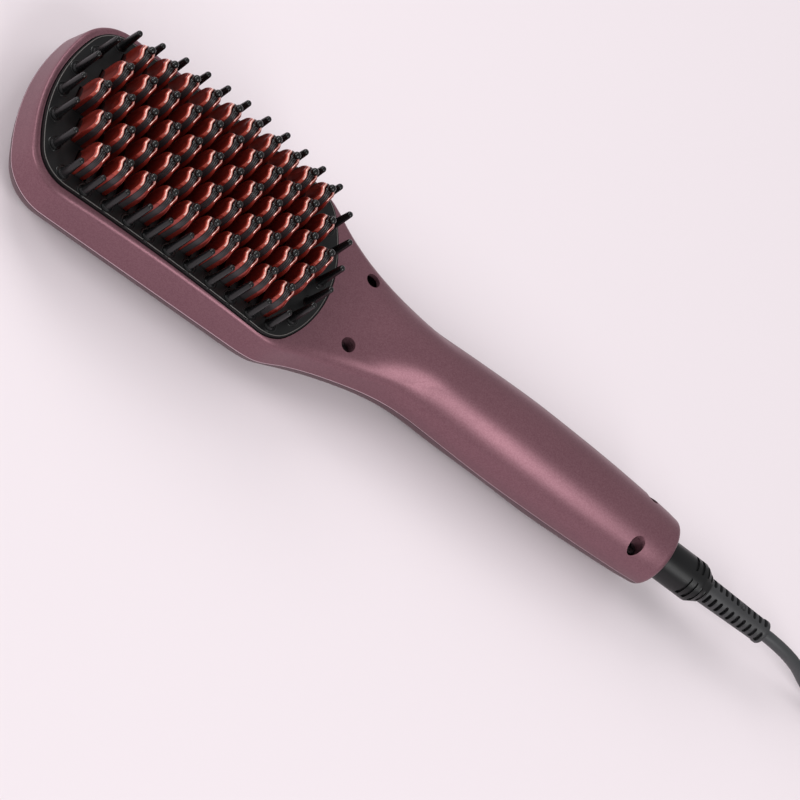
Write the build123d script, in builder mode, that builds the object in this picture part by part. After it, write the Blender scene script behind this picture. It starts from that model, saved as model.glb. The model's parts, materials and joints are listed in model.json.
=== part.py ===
"""Heated hair straightener brush: two-part casing, heating-fin field, swivel and cord.

Frame: +X from the head to the handle's end, +Y across, +Z out of the bristle face.
The origin is under the centre of the head, on the surface that the back rests on.
All lengths are in millimetres.
"""
import os
from math import asin, atan2, cos, degrees, pi, radians, sin, sqrt, tan

from build123d import *

os.makedirs("parts", exist_ok=True)

# ---- Casing -----------------------------------------------------------------
parting_height = 12.3  # plane where the front and back shells meet
parting_gap = 0.25  # shadow line between the two shells
rim_height = 25.7  # crest of the rim over the centre of the head
crown_radius = 640.0  # lengthwise crown of rim and guard plate
axis_height = 16.1  # axis of handle, swivel and cord exit
shell_wall = 1.8
head_tip_x = -61.3
tip_arc_radius = 72.0
half_width_tip = 37.1
half_width_neck = 33.7
outline_far_x = 75.0
head_corner_radius = 20.5
front_draft = 8.0
rim_radius = 1.9
back_profile = [(1.7, 3.7), (5.2, 7.7), (10.0, 10.7), (16.0, 12.3)]  # run inwards, drop
back_profile_narrow = [(1.2, 3.9), (3.6, 7.7), (6.6, 10.8), (9.0, 12.3)]
least_radius = 0.8  # smallest inner fillet of the moulding
neck_start = 40.0  # where the head's prism ends and the lofted neck begins
end_wall = 2.2
end_rounding = 2.2

# Neck stations: x, half width at the parting plane, shoulder height, crown height,
# shoulder radius, height of the back above the rest.
neck_stations = [
    (46.0, 33.2, 24.0, 24.2, 2.3, 0.0),
    (52.0, 31.3, 23.6, 23.9, 2.9, 0.0),
    (58.0, 29.0, 23.2, 23.8, 3.8, 0.3),
    (65.0, 26.2, 23.0, 24.2, 5.2, 1.0),
    (72.0, 23.6, 23.0, 25.1, 6.5, 1.8),
    (80.0, 21.1, 22.6, 27.3, 8.0, 2.5),
    (88.0, 18.9, 22.4, 29.8, 9.0, 2.8),
    (96.0, 17.3, 22.2, 31.3, 9.5, 2.8),
]
# Handle stations: x, radius round the axis.
handle_stations = [
    (106.0, 15.75),
    (120.0, 15.9),
    (143.0, 16.1),
    (165.0, 16.1),
    (180.0, 15.65),
    (193.0, 14.95),
    (206.0, 14.2),
    (213.4, 13.3),
]
# Back of the handle where buttons and display keep it off the rest: x, height.
handle_back_lift = {106.0: 2.8, 120.0: 2.8, 143.0: 1.2}
flat_back_end = 125.0  # the back has flat-bottomed sections up to here
narrow_start = 58.0  # the back's edge is rounded more tightly from here on

# ---- Guard frame and its opening --------------------------------------------
guard_tip_x = -57.4
guard_neck_x = 58.7
guard_half_width = 31.9
guard_tip_arc = 60.0
guard_neck_arc = 45.0
guard_corner_radius = 13.5
guard_gap = 0.3
guard_proud = 0.9  # guard plate stands this far above the rim's crest
guard_thickness = 2.0
skirt_wall = 1.4
skirt_foot = 18.6
ear_thickness = 1.8
ear_half_width = 4.0
guard_screw_x = 62.5
guard_screw_y = 15.0
hook_half_width = 4.5
hook_reach = 0.8
hook_height = 1.4

# ---- Guard tines -------------------------------------------------------------
tine_height = 13.2
tine_droop = 0.8  # how much shorter a tine is 46 mm from the centre
tine_base_radius = 1.6
tine_tip_radius = 1.1
tine_collar_height = 0.6
tine_collar_radius = 2.0
tine_socket = 2.3
tine_socket_gap = 0.05
side_tine_start = -35.3
side_tine_pitch = 8.7
side_tine_count = 9
side_tine_y = 28.9
end_tines = [(-54.1, 0.0), (53.8, 0.0)]
corner_tines = [
    (-52.8, 10.1),
    (-49.0, 20.0),
    (-43.4, 27.9),
    (42.4, 27.5),
    (49.0, 19.8),
    (52.6, 10.3),
]

# ---- Heating fins and bristle cores ------------------------------------------
fin_pitch = 8.5
row_pitch = 10.77
row_counts = [10, 11, 12, 11, 10]
field_centre_x = 0.0
tooth_height = 18.2  # ball centre above the guard plate at the centre
tooth_droop_x = 5.0  # drop of the tooth tops 46 mm along the head
tooth_droop_y = 1.04  # drop of the tooth tops 20 mm across the head
droop_x = 46.0
droop_y = 20.0
fin_below_ball = 1.75
fin_half_length = 4.3
fin_inner = 1.15
fin_top_thickness = 0.7
fin_draft = 2.9
fin_shoulders = [(0.0, 1.6), (1.7, 3.2), (3.9, 4.05), (6.6, 4.3)]  # drop, half length
fin_root = 1.2
fin_slot_gap = 0.3
core_half_thickness = 1.05
core_above_fin = 0.3
core_overhang = 0.15
pin_radius = 0.85
ball_radius = 1.15
ball_sides = 8

# ---- Heater stack -------------------------------------------------------------
plate_top = 21.3
plate_thickness = 3.0
plate_length = 103.0
plate_width = 54.0
plate_corner = 8.0
pillar_x = 44.5
pillar_y = 23.5
pillar_radius = 2.8
heater_length = 38.0
heater_width = 22.0
heater_thickness = 4.4
heater_x = 26.5
mica_thickness = 0.4
mica_margin = 1.5
clamp_thickness = 1.2
clamp_arm_width = 7.0
clamp_boss_radius = 2.8
heater_screw_radius = 1.25
heater_screw_head = 2.4
heater_screw_head_height = 1.5
screw_gap = 0.05  # radial gap between a screw and its pilot hole
hole_gap = 0.3  # radial gap of a clearance hole
sensor_y = 7.0
fuse_radius = 1.9
fuse_length = 10.0
shield_length = 92.0
shield_width = 46.0
shield_thickness = 0.8
shield_height = 7.4
shield_post_x = 38.0
shield_post_y = 17.0
shield_post_radius = 2.4

# ---- Casing screws -------------------------------------------------------------
neck_screw_x = 71.8
neck_screw_y = 14.0
neck_recess_radius = 2.6
end_screw_x = 199.0
end_screw_y = 9.6
end_recess_radius = 2.7
neck_recess_floor = 18.6
end_recess_floor = 20.6
casing_screw_radius = 1.45
casing_screw_head = 2.3
casing_screw_head_height = 1.7
casing_screw_end = 6.8
front_boss_radius = 4.1
back_boss_radius = 3.4
boss_gap = 0.25

# ---- Display, buttons and boards -------------------------------------------------
display_x = 88.0
display_length = 15.0
display_width = 9.0
display_corner = 1.5
window_thickness = 1.0
window_height = 2.75
window_gap = 0.15
window_ledge = 1.2
module_foot = 4.8
module_margin = 1.2
button_x = {"power": 103.0, "plus": 114.5, "minus": 124.5}
button_radius = {"power": 4.0, "plus": 3.2, "minus": 3.2}
button_proud = 0.8
button_travel = 0.6
button_gap = 0.3
button_flange = 0.9
button_flange_height = 0.8
switch_size = 6.0
switch_height = 3.2
plunger_radius = 1.6
plunger_gap = 0.08
plunger_length = 2.6
display_board_height = 10.2
display_board_start = 77.0
display_board_end = 131.0
board_thickness = 1.6
display_board_width = 17.0
control_board_start = 137.0
control_board_end = 189.0
control_board_width = 20.0
control_board_height = 8.0
board_post_radius = 2.0
board_post_inset = 3.0
board_screw_radius = 0.9
board_screw_head = 1.7
board_screw_head_height = 1.1

# ---- Swivel ----------------------------------------------------------------------
barrel_radius = 7.6
barrel_end_x = 232.5
barrel_flange_x = 209.4
barrel_flange_radius = 9.4
barrel_flange = 1.5
barrel_gap = 0.3
spindle_radius = 4.5
spindle_start_x = 193.0
spindle_bore = 2.6
bearing_gap = 0.05
bush_start_x = 205.3
bush_end_x = 209.1
bush_radius = 8.6
bush_flange_radius = 10.2
bush_flange = 1.2
ring_width = 3.0
ring_thickness = 1.0
ring_seat = 0.02
ring_centres = [203.5, 197.5]
clip_x = 195.5
clip_thickness = 0.8
clip_radius = 5.2
clip_groove_radius = 3.6
spring_width = 2.0
spring_thickness = 0.4
spring_gap = 0.3

# ---- Strain relief, cord and plug ----------------------------------------------------
shoulder_end_x = 236.0
sleeve_end_x = 263.0
sleeve_root_radius = 4.75
sleeve_tip_radius = 4.1
sleeve_plug_radius = 3.4
sleeve_plug_length = 6.0
sleeve_bead = 0.4
sleeve_bead_length = 2.0
slot_pitch = 2.75
slot_width = 1.3
slot_half_length = 1.9
slot_depth = 1.3
slot_count = 9
slot_start_x = 238.6
cord_radius = 2.4
cord_rest = 2.45
cord_route = [
    (279.0, 0.0, 16.1),
    (297.0, 0.0, 5.6),
    (312.0, -0.6, 2.45),
    (325.0, 0.0, 2.45),
]
coil_centre = (345.0, 28.0)
coil_mean_radius = 26.4
coil_columns = 4
coil_layers = 3
plug_pin_radius = 2.0
plug_pin_length = 19.0
plug_pin_spacing = 18.6
plug_body_length = 24.0
plug_body_width = 35.3
plug_body_height = 13.7
plug_corner = 5.5
plug_neck_length = 12.0
plug_neck_radius = 4.2
plug_pin_root_radius = 1.7  # of the stretch held in the plug
plug_pin_root = 9.6
plug_pin_neck = 0.4  # of the thinner root that shows outside the plug
plug_pin_chamfer = 0.6
wire_landing = 6.5  # from the control board's end to the soldered wires
wire_slant = 0.1  # that the wires' slanted ends stand off the heaters


# ---- Functions that several pieces share ----------------------------------------------
def write(part, name):
    """Label a finished piece and export it."""
    part.label = name
    export_step(part, f"parts/{name}.step")


def crown_at(x, height=rim_height):
    """Height of the lengthwise crown that passes the head's centre at a height."""
    return height - crown_radius + sqrt(crown_radius**2 - x**2)


def plate_at(x):
    """Height of the guard plate's top surface."""
    return crown_at(x, rim_height + guard_proud)


def head_outline(inset, height=parting_height):
    """Plan outline of the head, shrunk by an inset."""
    radius = tip_arc_radius - inset
    tip_width = half_width_tip - inset
    far_width = half_width_neck - inset
    tip_x = head_tip_x + inset
    corner_x = tip_x + radius - sqrt(radius**2 - tip_width**2)
    with BuildSketch(Plane.XY.offset(height)) as outline:
        with BuildLine():
            ThreePointArc((corner_x, tip_width), (tip_x, 0), (corner_x, -tip_width))
            Polyline(
                (corner_x, -tip_width),
                (outline_far_x, -far_width),
                (outline_far_x, far_width),
                (corner_x, tip_width),
            )
        make_face()
        fillet(outline.vertices().group_by(Axis.X)[0], head_corner_radius - inset)
    return outline.sketch


def front_section(x, half_width, shoulder, crown, radius, inset):
    """Section of the front shell across the neck."""
    half_width -= inset
    shoulder -= inset
    crown -= inset
    side = half_width - (shoulder - parting_height) * tan(radians(front_draft))
    with BuildSketch(Plane.YZ.offset(x)) as section:
        with BuildLine():
            Polyline(
                (side, shoulder),
                (half_width, parting_height),
                (-half_width, parting_height),
                (-side, shoulder),
            )
            ThreePointArc((-side, shoulder), (0, crown), (side, shoulder))
        make_face()
        fillet(section.vertices().group_by(Axis.Y)[-1], max(radius - inset, least_radius))
    return section.sketch


def back_section(x, half_width, lift, inset):
    """Section of the back shell where it has a flat bottom."""
    profile = back_profile if x < narrow_start else back_profile_narrow
    scale = (parting_height - lift - inset) / parting_height
    right = [(half_width - inset, parting_height)]
    for run, drop in profile:
        right.append((half_width - inset - run * scale, parting_height - drop * scale))
    left = [(-y, z) for y, z in reversed(right)]
    with BuildSketch(Plane.YZ.offset(x)) as section:
        with BuildLine():
            Polyline(*right, *left, close=True)
        make_face()
    return section.sketch


def round_section(x, radius, angles, height_scale=1.0):
    """Section of the handle on one side of the parting plane, as a chain of arcs."""
    swell = 0.04  # keeps neighbouring arcs apart as separate edges

    def on_ring(ring_radius, angle):
        rise = ring_radius * sin(radians(angle)) * height_scale
        return (ring_radius * cos(radians(angle)), axis_height + rise)

    with BuildSketch(Plane.YZ.offset(x)) as section:
        with BuildLine():
            Line(on_ring(radius, angles[-1]), on_ring(radius, angles[0]))
            for count, (start, end) in enumerate(zip(angles, angles[1:])):
                middle = on_ring(radius + swell * (count % 2), (start + end) / 2)
                ThreePointArc(on_ring(radius, start), middle, on_ring(radius, end))
        make_face()
    return section.sketch


def parting_half_width(radius):
    """Half width of a round handle section at the parting plane."""
    return sqrt(radius**2 - (axis_height - parting_height) ** 2)


def front_handle_section(x, radius, inset):
    """Round section above the parting plane."""
    start = degrees(asin((parting_height - axis_height) / (radius - inset)))
    return round_section(x, radius - inset, [start, 22, 58, 122, 158, 180 - start])


def back_handle_section(x, radius, inset):
    """Section below the parting plane, flat-bottomed under the display and buttons."""
    lift = handle_back_lift.get(x, axis_height - radius)
    if x < flat_back_end:
        return back_section(x, parting_half_width(radius), lift, inset)
    depth = (axis_height - lift - inset) / (radius - inset)
    start = degrees(asin((parting_height - axis_height) / (radius - inset) / depth))
    angles = [180 - start, 203, 220, 237, 254, 286, 303, 320, 337, 360 + start]
    return round_section(x, radius - inset, angles, depth)


def lofted_handle(body, sections):
    """Neck and handle, lofted from the head's end face through the given sections."""
    head_end = body.faces().sort_by(Axis.X)[-1]
    return loft([head_end] + sections, ruled=True, mode=Mode.PRIVATE)


def front_body(inset):
    """Solid upper half of the casing, shrunk by an inset."""
    crown_centre = (0, 0, rim_height - inset - crown_radius)
    last_x, last_radius = handle_stations[-1]
    end_x = last_x - (end_wall if inset else 0)
    sections = []
    for x, width, shoulder, crown, radius, _ in neck_stations:
        sections.append(front_section(x, width, shoulder, crown, radius, inset))
    for x, radius in handle_stations[:-1]:
        sections.append(front_handle_section(x, radius, inset))
    sections.append(front_handle_section(end_x, last_radius, inset))
    with BuildPart() as body:
        height = rim_height + rim_radius - parting_height
        extrude(head_outline(inset), amount=height, taper=front_draft)
        with Locations(crown_centre):
            Cylinder(crown_radius, 4 * half_width_tip, rotation=(90, 0, 0), mode=Mode.INTERSECT)
        split(bisect_by=Plane.YZ.offset(neck_start), keep=Keep.BOTTOM)
        rim = body.faces().sort_by(Axis.Z)[-1].edges().sort_by(Axis.X)[:-1]
        if inset:
            chamfer(rim, least_radius)
        else:
            fillet(rim, rim_radius)
        add(lofted_handle(body, sections))
    return body.part


def back_body(inset):
    """Solid lower half of the casing, shrunk by an inset."""
    last_x, last_radius = handle_stations[-1]
    end_x = last_x - (end_wall if inset else 0)
    scale = (parting_height - inset) / parting_height
    sections = []
    for x, width, _, _, _, lift in neck_stations:
        sections.append(back_section(x, width, lift, inset))
    for x, radius in handle_stations[:-1]:
        sections.append(back_handle_section(x, radius, inset))
    sections.append(back_handle_section(end_x, last_radius, inset))
    with BuildPart() as body:
        level = head_outline(inset)
        last_run = 0
        last_drop = 0
        for run, drop in back_profile:
            step = scale * (drop - last_drop)
            angle = degrees(atan2(run - last_run, drop - last_drop))
            extrude(level, amount=-step, taper=angle)
            level = body.faces().sort_by(Axis.Z)[0]
            level = -level
            last_run = run
            last_drop = drop
        split(bisect_by=Plane.YZ.offset(neck_start), keep=Keep.BOTTOM)
        add(lofted_handle(body, sections))
    return body.part


def end_rounder():
    """Ring outside the rounded edge of the handle's end."""
    end_x, end_radius = handle_stations[-1]
    start_x = end_x - end_rounding
    centre_radius = end_radius + 0.2 - end_rounding
    far = end_radius + end_rounding
    diagonal = end_rounding * sqrt(0.5)
    with BuildPart() as ring:
        with BuildSketch(Plane.XY.offset(axis_height)):
            with BuildLine():
                ThreePointArc(
                    (start_x, centre_radius + end_rounding),
                    (start_x + diagonal, centre_radius + diagonal),
                    (end_x, centre_radius),
                )
                Polyline(
                    (end_x, centre_radius),
                    (end_x + 1, centre_radius),
                    (end_x + 1, far),
                    (start_x, far),
                    (start_x, centre_radius + end_rounding),
                )
            make_face()
        revolve(axis=Axis((0, 0, axis_height), (1, 0, 0)))
    return ring.part


def guard_outline(offset_by, height):
    """Outline of the guard frame in plan, grown by an offset."""
    half_width = guard_half_width + offset_by
    tip_radius = guard_tip_arc + offset_by
    neck_radius = guard_neck_arc + offset_by
    tip_x = guard_tip_x - offset_by
    neck_x = guard_neck_x + offset_by
    tip_corner = tip_x + tip_radius - sqrt(tip_radius**2 - half_width**2)
    neck_corner = neck_x - neck_radius + sqrt(neck_radius**2 - half_width**2)
    with BuildSketch(Plane.XY.offset(height)) as outline:
        with BuildLine():
            ThreePointArc((tip_corner, half_width), (tip_x, 0), (tip_corner, -half_width))
            Line((tip_corner, -half_width), (neck_corner, -half_width))
            ThreePointArc((neck_corner, -half_width), (neck_x, 0), (neck_corner, half_width))
            Line((neck_corner, half_width), (tip_corner, half_width))
        make_face()
        fillet(outline.vertices(), guard_corner_radius + offset_by)
    return outline.sketch


def crown_band(top, bottom):
    """Solid between two lengthwise crowns, long and wide enough for the head."""
    span = 3 * half_width_tip
    with BuildPart() as band:
        with Locations((0, 0, top - crown_radius)):
            Cylinder(crown_radius, span, rotation=(90, 0, 0))
        with Locations((0, 0, bottom - crown_radius)):
            Cylinder(crown_radius, span, rotation=(90, 0, 0), mode=Mode.SUBTRACT)
    return band.part


def both_sides(points):
    """The points and their mirror images across the X axis."""
    return [(x, side * y) for x, y in points for side in (1, -1)]


def post(points, radius, bottom, top):
    """Vertical round posts at plan points."""
    with BuildPart() as posts:
        with BuildSketch(Plane.XY.offset(bottom)):
            with Locations(*points):
                Circle(radius)
        extrude(amount=top - bottom)
    return posts.part


def screw(points, seat, head_radius, head_height, shank_radius, shank_end):
    """Cross-head screws whose heads bear on a seat, with shanks that run to shank_end."""
    direction = 1 if shank_end > seat else -1
    crest = seat - direction * head_height
    with BuildPart() as screws:
        add(post(points, head_radius, min(crest, seat), max(crest, seat)))
        add(post(points, shank_radius, min(seat, shank_end), max(seat, shank_end)))
        with BuildSketch(Plane.XY.offset(crest)):
            with Locations(*points):
                Rectangle(1.3 * head_radius, 0.3 * head_radius)
                Rectangle(0.3 * head_radius, 1.3 * head_radius)
        extrude(amount=0.5 * direction * head_height, mode=Mode.SUBTRACT)
    return screws.part


def turned(profile):
    """Solid turned about the handle's axis from (x, radius) points."""
    with BuildPart() as solid:
        with BuildSketch(Plane.XZ):
            with BuildLine():
                Polyline(*[(x, axis_height + radius) for x, radius in profile], close=True)
            make_face()
        revolve(axis=Axis((0, 0, axis_height), (1, 0, 0)))
    return solid.part


# ---- Places that pieces share ---------------------------------------------------------
neck_screw_points = [(neck_screw_x, neck_screw_y), (neck_screw_x, -neck_screw_y)]
end_screw_points = [(end_screw_x, end_screw_y), (end_screw_x, -end_screw_y)]
casing_screw_points = neck_screw_points + end_screw_points
guard_screw_points = [(guard_screw_x, guard_screw_y), (guard_screw_x, -guard_screw_y)]
pillar_points = both_sides([(pillar_x, pillar_y), (-pillar_x, pillar_y)])
shield_points = both_sides([(shield_post_x, shield_post_y), (-shield_post_x, shield_post_y)])
display_post_points = both_sides(
    [
        (display_board_start + board_post_inset, display_board_width / 2 - board_post_inset),
        (display_board_end - board_post_inset, display_board_width / 2 - board_post_inset),
    ]
)
control_post_points = both_sides(
    [
        (control_board_start + board_post_inset, control_board_width / 2 - board_post_inset),
        (control_board_end - board_post_inset, control_board_width / 2 - board_post_inset),
    ]
)
ear_top = skirt_foot + ear_thickness
back_floor = 2.8 + shell_wall
plate_bottom = plate_top - plate_thickness
heater_bottom = plate_bottom - heater_thickness
clamp_top = heater_bottom - mica_thickness
clamp_bottom = clamp_top - clamp_thickness
tine_points = end_tines + corner_tines + [(x, -y) for x, y in corner_tines]
for count in range(side_tine_count):
    tine_x = side_tine_start + count * side_tine_pitch
    tine_points += [(tine_x, side_tine_y), (tine_x, -side_tine_y)]


def tooth_points(row):
    """Plan places of the teeth of one row."""
    y = (2 - row) * row_pitch
    count = row_counts[row]
    start = field_centre_x - fin_pitch * (count - 1) / 2
    return [(start + place * fin_pitch, y) for place in range(count)]


def ball_height(x, y):
    """Height of a tooth's ball centre."""
    droop = tooth_droop_x * (x / droop_x) ** 2 + tooth_droop_y * (y / droop_y) ** 2
    return rim_height + guard_proud + tooth_height - droop


# ---- Casing shells ------------------------------------------------------------------------
front_outer = front_body(0)
back_outer = back_body(0)
rounder = end_rounder()
bulkhead_span = (bush_start_x + bush_flange + bearing_gap, bush_end_x - bush_flange - bearing_gap)
with BuildPart() as bulkhead:
    with BuildSketch(Plane.YZ.offset(bulkhead_span[0])):
        with Locations((0, axis_height)):
            Circle(handle_stations[-2][1] - 0.5 * shell_wall)
            Circle(bush_radius + bearing_gap, mode=Mode.SUBTRACT)
        with Locations((0, parting_height)):
            seat_drop = axis_height - parting_height
            Rectangle(2 * (bush_radius + bearing_gap), 2 * seat_drop, mode=Mode.SUBTRACT)
    extrude(amount=bulkhead_span[1] - bulkhead_span[0])
with BuildPart() as cord_hole:
    with Locations((handle_stations[-1][0], 0, axis_height)):
        Cylinder(barrel_radius + barrel_gap, 3 * end_wall, rotation=(0, 90, 0))

with BuildPart() as front_shell:
    add(front_outer)
    add(front_body(shell_wall), mode=Mode.SUBTRACT)
    neck_top = 1.5 * rim_height
    add(post(casing_screw_points, front_boss_radius, parting_height, neck_top) & front_outer)
    add(post(guard_screw_points, pillar_radius, ear_top, neck_top) & front_outer)
    add(bulkhead.part & front_outer)
    extrude(guard_outline(guard_gap, parting_height), amount=rim_height, mode=Mode.SUBTRACT)
    add(rounder, mode=Mode.SUBTRACT)
    neck_recess = post(neck_screw_points, neck_recess_radius, neck_recess_floor, neck_top)
    add(neck_recess, mode=Mode.SUBTRACT)
    end_recess = post(end_screw_points, end_recess_radius, end_recess_floor, neck_top)
    add(end_recess, mode=Mode.SUBTRACT)
    clearance = post(casing_screw_points, casing_screw_radius + hole_gap, 0, rim_height)
    add(clearance, mode=Mode.SUBTRACT)
    pilot = post(guard_screw_points, heater_screw_radius + screw_gap, 0, ear_top + 2.4)
    add(pilot, mode=Mode.SUBTRACT)
    add(cord_hole.part, mode=Mode.SUBTRACT)
write(front_shell.part, "front_shell")

with BuildPart() as back_shell:
    add(back_outer)
    add(back_body(shell_wall), mode=Mode.SUBTRACT)
    boss_top = parting_height - boss_gap
    add(post(casing_screw_points, back_boss_radius, 0, boss_top) & back_outer)
    add(post(shield_points, shield_post_radius, 0, shield_height) & back_outer)
    shield_pin = shield_height + shield_thickness + 0.8
    add(post(shield_points, 0.5 * shield_post_radius, 0, shield_pin) & back_outer)
    add(post(display_post_points, board_post_radius, 0, display_board_height) & back_outer)
    add(post(control_post_points, board_post_radius, 0, control_board_height) & back_outer)
    add(bulkhead.part & back_outer)
    with Locations((0, 0, parting_height)):
        Box(3 * outline_far_x + 300, 4 * half_width_tip, 2 * parting_gap, mode=Mode.SUBTRACT)
    add(rounder, mode=Mode.SUBTRACT)
    casing_pilot = casing_screw_radius + screw_gap
    add(post(casing_screw_points, casing_pilot, casing_screw_end - 0.6, rim_height), mode=Mode.SUBTRACT)
    board_pilot = board_screw_radius + screw_gap
    board_posts = display_post_points + control_post_points
    add(post(board_posts, board_pilot, module_foot, rim_height), mode=Mode.SUBTRACT)
    with BuildSketch(Plane.XY.offset(-1)):
        with Locations((display_x, 0)):
            RectangleRounded(display_length, display_width, display_corner)
    extrude(amount=window_height + window_thickness + 1, mode=Mode.SUBTRACT)
    with BuildSketch(Plane.XY):
        with Locations((display_x, 0)):
            Rectangle(display_length - 2 * window_ledge, display_width - 2 * window_ledge)
    extrude(amount=back_floor + 1, mode=Mode.SUBTRACT)
    with BuildSketch(Plane.XY):
        for name, x in button_x.items():
            with Locations((x, 0)):
                Circle(button_radius[name] + button_gap)
    extrude(amount=back_floor + 1, mode=Mode.SUBTRACT)
    add(cord_hole.part, mode=Mode.SUBTRACT)
write(back_shell.part, "back_shell")

# ---- Guard frame -----------------------------------------------------------------------------
guard_top = rim_height + guard_proud
fin_depth = guard_top + tooth_height - fin_below_ball - plate_top


def fin_outer(depth):
    """Half thickness of the drafted fin pair below its tip."""
    return fin_inner + fin_top_thickness + depth * tan(radians(fin_draft))


slot_length = 2 * (fin_outer(fin_depth - plate_thickness) + fin_slot_gap)
slot_breadth = 2 * (fin_half_length + core_overhang + fin_slot_gap)
all_teeth = [point for row in range(len(row_counts)) for point in tooth_points(row)]
with BuildPart() as skirt:
    extrude(guard_outline(0, skirt_foot), amount=rim_height)
    extrude(guard_outline(-skirt_wall, skirt_foot), amount=rim_height, mode=Mode.SUBTRACT)
    add(crown_band(guard_top - 0.5 * guard_thickness, 0), mode=Mode.INTERSECT)

with BuildPart() as guard_frame:
    with BuildSketch(Plane.XY.offset(skirt_foot)):
        add(guard_outline(0, skirt_foot))
        with Locations(*all_teeth):
            Rectangle(slot_length, slot_breadth, mode=Mode.SUBTRACT)
        with Locations(*tine_points):
            Rectangle(tine_socket, tine_socket, mode=Mode.SUBTRACT)
    extrude(amount=rim_height)
    add(crown_band(guard_top, guard_top - guard_thickness), mode=Mode.INTERSECT)
    add(skirt.part)
    pillar_top = guard_top - guard_thickness + 0.3
    add(post(pillar_points, pillar_radius, plate_top, guard_top) & crown_band(pillar_top, 0))
    with BuildSketch(Plane.XY.offset(skirt_foot)):
        with Locations(*guard_screw_points):
            Circle(ear_half_width)
        with Locations(*[(guard_screw_x - 4, y) for _, y in guard_screw_points]):
            Rectangle(8, 2 * ear_half_width)
        with Locations((guard_tip_x + hook_reach, 0)):
            Rectangle(4 * hook_reach, 2 * hook_half_width)
    extrude(amount=ear_thickness)
    heater_pilot = heater_screw_radius + screw_gap
    add(post(pillar_points, heater_pilot, plate_top - 1, plate_top + 2.7), mode=Mode.SUBTRACT)
    ear_hole = heater_screw_radius + hole_gap
    add(post(guard_screw_points, ear_hole, skirt_foot - 1, ear_top + 1), mode=Mode.SUBTRACT)
write(guard_frame.part, "guard_frame")

heater_head = (heater_screw_head, heater_screw_head_height, heater_screw_radius)
guard_screws = screw(guard_screw_points, skirt_foot, *heater_head, ear_top + 2.2)
write(guard_screws, "guard_screws")

# ---- Guard tines --------------------------------------------------------------------------------
def tine(x, y):
    """One guard bristle: square shank, collar, tapered body and rounded tip."""
    foot = plate_at(max(abs(x) - tine_collar_radius, 0))
    top = foot + tine_height - tine_droop * (x / droop_x) ** 2
    collar_top = foot + tine_collar_height
    shank = tine_socket - 2 * tine_socket_gap
    stages = [
        (foot, tine_collar_radius, collar_top, tine_collar_radius - 0.3),
        (collar_top, tine_base_radius, top - 1, tine_tip_radius),
        (top - 1, tine_tip_radius, top, 0.5 * tine_tip_radius),
    ]
    with BuildPart() as bristle:
        with BuildSketch(Plane.XY.offset(foot)):
            with Locations((x, y)):
                Rectangle(shank, shank)
        extrude(amount=0.3 - guard_thickness)
        for bottom, bottom_radius, end, end_radius in stages:
            for level, radius in ((bottom, bottom_radius), (end, end_radius)):
                with BuildSketch(Plane.XY.offset(level)):
                    with Locations((x, y)):
                        RegularPolygon(radius, 8)
            loft(ruled=True)
    return bristle.part


with BuildPart() as guard_tines:
    add([tine(x, y) for x, y in tine_points])
write(guard_tines.part, "guard_tines")


# ---- Heating fins and bristle cores ----------------------------------------------------------------
def crowned_outline(top, widen):
    """Crowned outline of a fin or core in the YZ plane, from its top downwards."""
    right = [(half + widen, top - drop) for drop, half in fin_shoulders]
    right.append((right[-1][0], top - fin_depth - fin_root))
    left = [(-y, z) for y, z in reversed(right)]
    return right + left


with BuildPart() as fin:
    fin_tip = -fin_below_ball
    with BuildSketch(Plane.YZ):
        with BuildLine():
            Polyline(*crowned_outline(fin_tip, 0), close=True)
        make_face()
    extrude(amount=fin_pitch / 2, both=True)
    with BuildSketch(Plane.XZ):
        with BuildLine():
            foot = fin_tip - fin_depth
            Polyline(
                (fin_inner, fin_tip),
                (fin_outer(0), fin_tip),
                (fin_outer(fin_depth), foot),
                (fin_inner, foot),
                close=True,
            )
        make_face()
        mirror(about=Plane.YZ)
    extrude(amount=2 * fin_half_length, both=True, mode=Mode.INTERSECT)

with BuildPart() as core:
    blade_top = core_above_fin - fin_below_ball
    with BuildSketch(Plane.YZ):
        with BuildLine():
            Polyline(*crowned_outline(blade_top, core_overhang), close=True)
        make_face()
    extrude(amount=core_half_thickness, both=True)
    with BuildSketch(Plane.XY.offset(blade_top)):
        RegularPolygon(pin_radius, ball_sides)
    extrude(amount=-blade_top - 0.5 * ball_radius)
    for bottom, height, low, high in (
        (-0.6 * ball_radius, 0.25 * ball_radius, pin_radius, ball_radius),
        (-0.35 * ball_radius, 0.7 * ball_radius, ball_radius, ball_radius),
        (0.35 * ball_radius, 0.6 * ball_radius, ball_radius, 0.45 * ball_radius),
    ):
        for level, radius in ((bottom, low), (bottom + height, high)):
            with BuildSketch(Plane.XY.offset(level)):
                RegularPolygon(radius, ball_sides)
        loft(ruled=True)

for row in range(len(row_counts)):
    points = tooth_points(row)
    places = [(x, y, ball_height(x, y)) for x, y in points]
    with BuildPart() as fin_row:
        with Locations(*places):
            add(fin.part)
        split(bisect_by=Plane.XY.offset(plate_top), keep=Keep.TOP)
        with Locations(*[(x, y, plate_top + fin_root / 2) for x, y in points]):
            Box(2 * fin_inner + fin_top_thickness, 2 * fin_half_length, fin_root)
    write(fin_row.part, f"fin_row_{row + 1}")
    with BuildPart() as bristle_row:
        with Locations(*places):
            add(core.part)
        split(bisect_by=Plane.XY.offset(plate_top + fin_root), keep=Keep.TOP)
    write(bristle_row.part, f"bristle_row_{row + 1}")

# ---- Heater stack --------------------------------------------------------------------------------
with BuildPart() as heater_plate:
    with BuildSketch(Plane.XY.offset(plate_bottom)):
        RectangleRounded(plate_length, plate_width, plate_corner)
        with Locations(*pillar_points):
            Circle(heater_screw_radius + hole_gap, mode=Mode.SUBTRACT)
    extrude(amount=plate_thickness)
write(heater_plate.part, "heater_plate")

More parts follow.
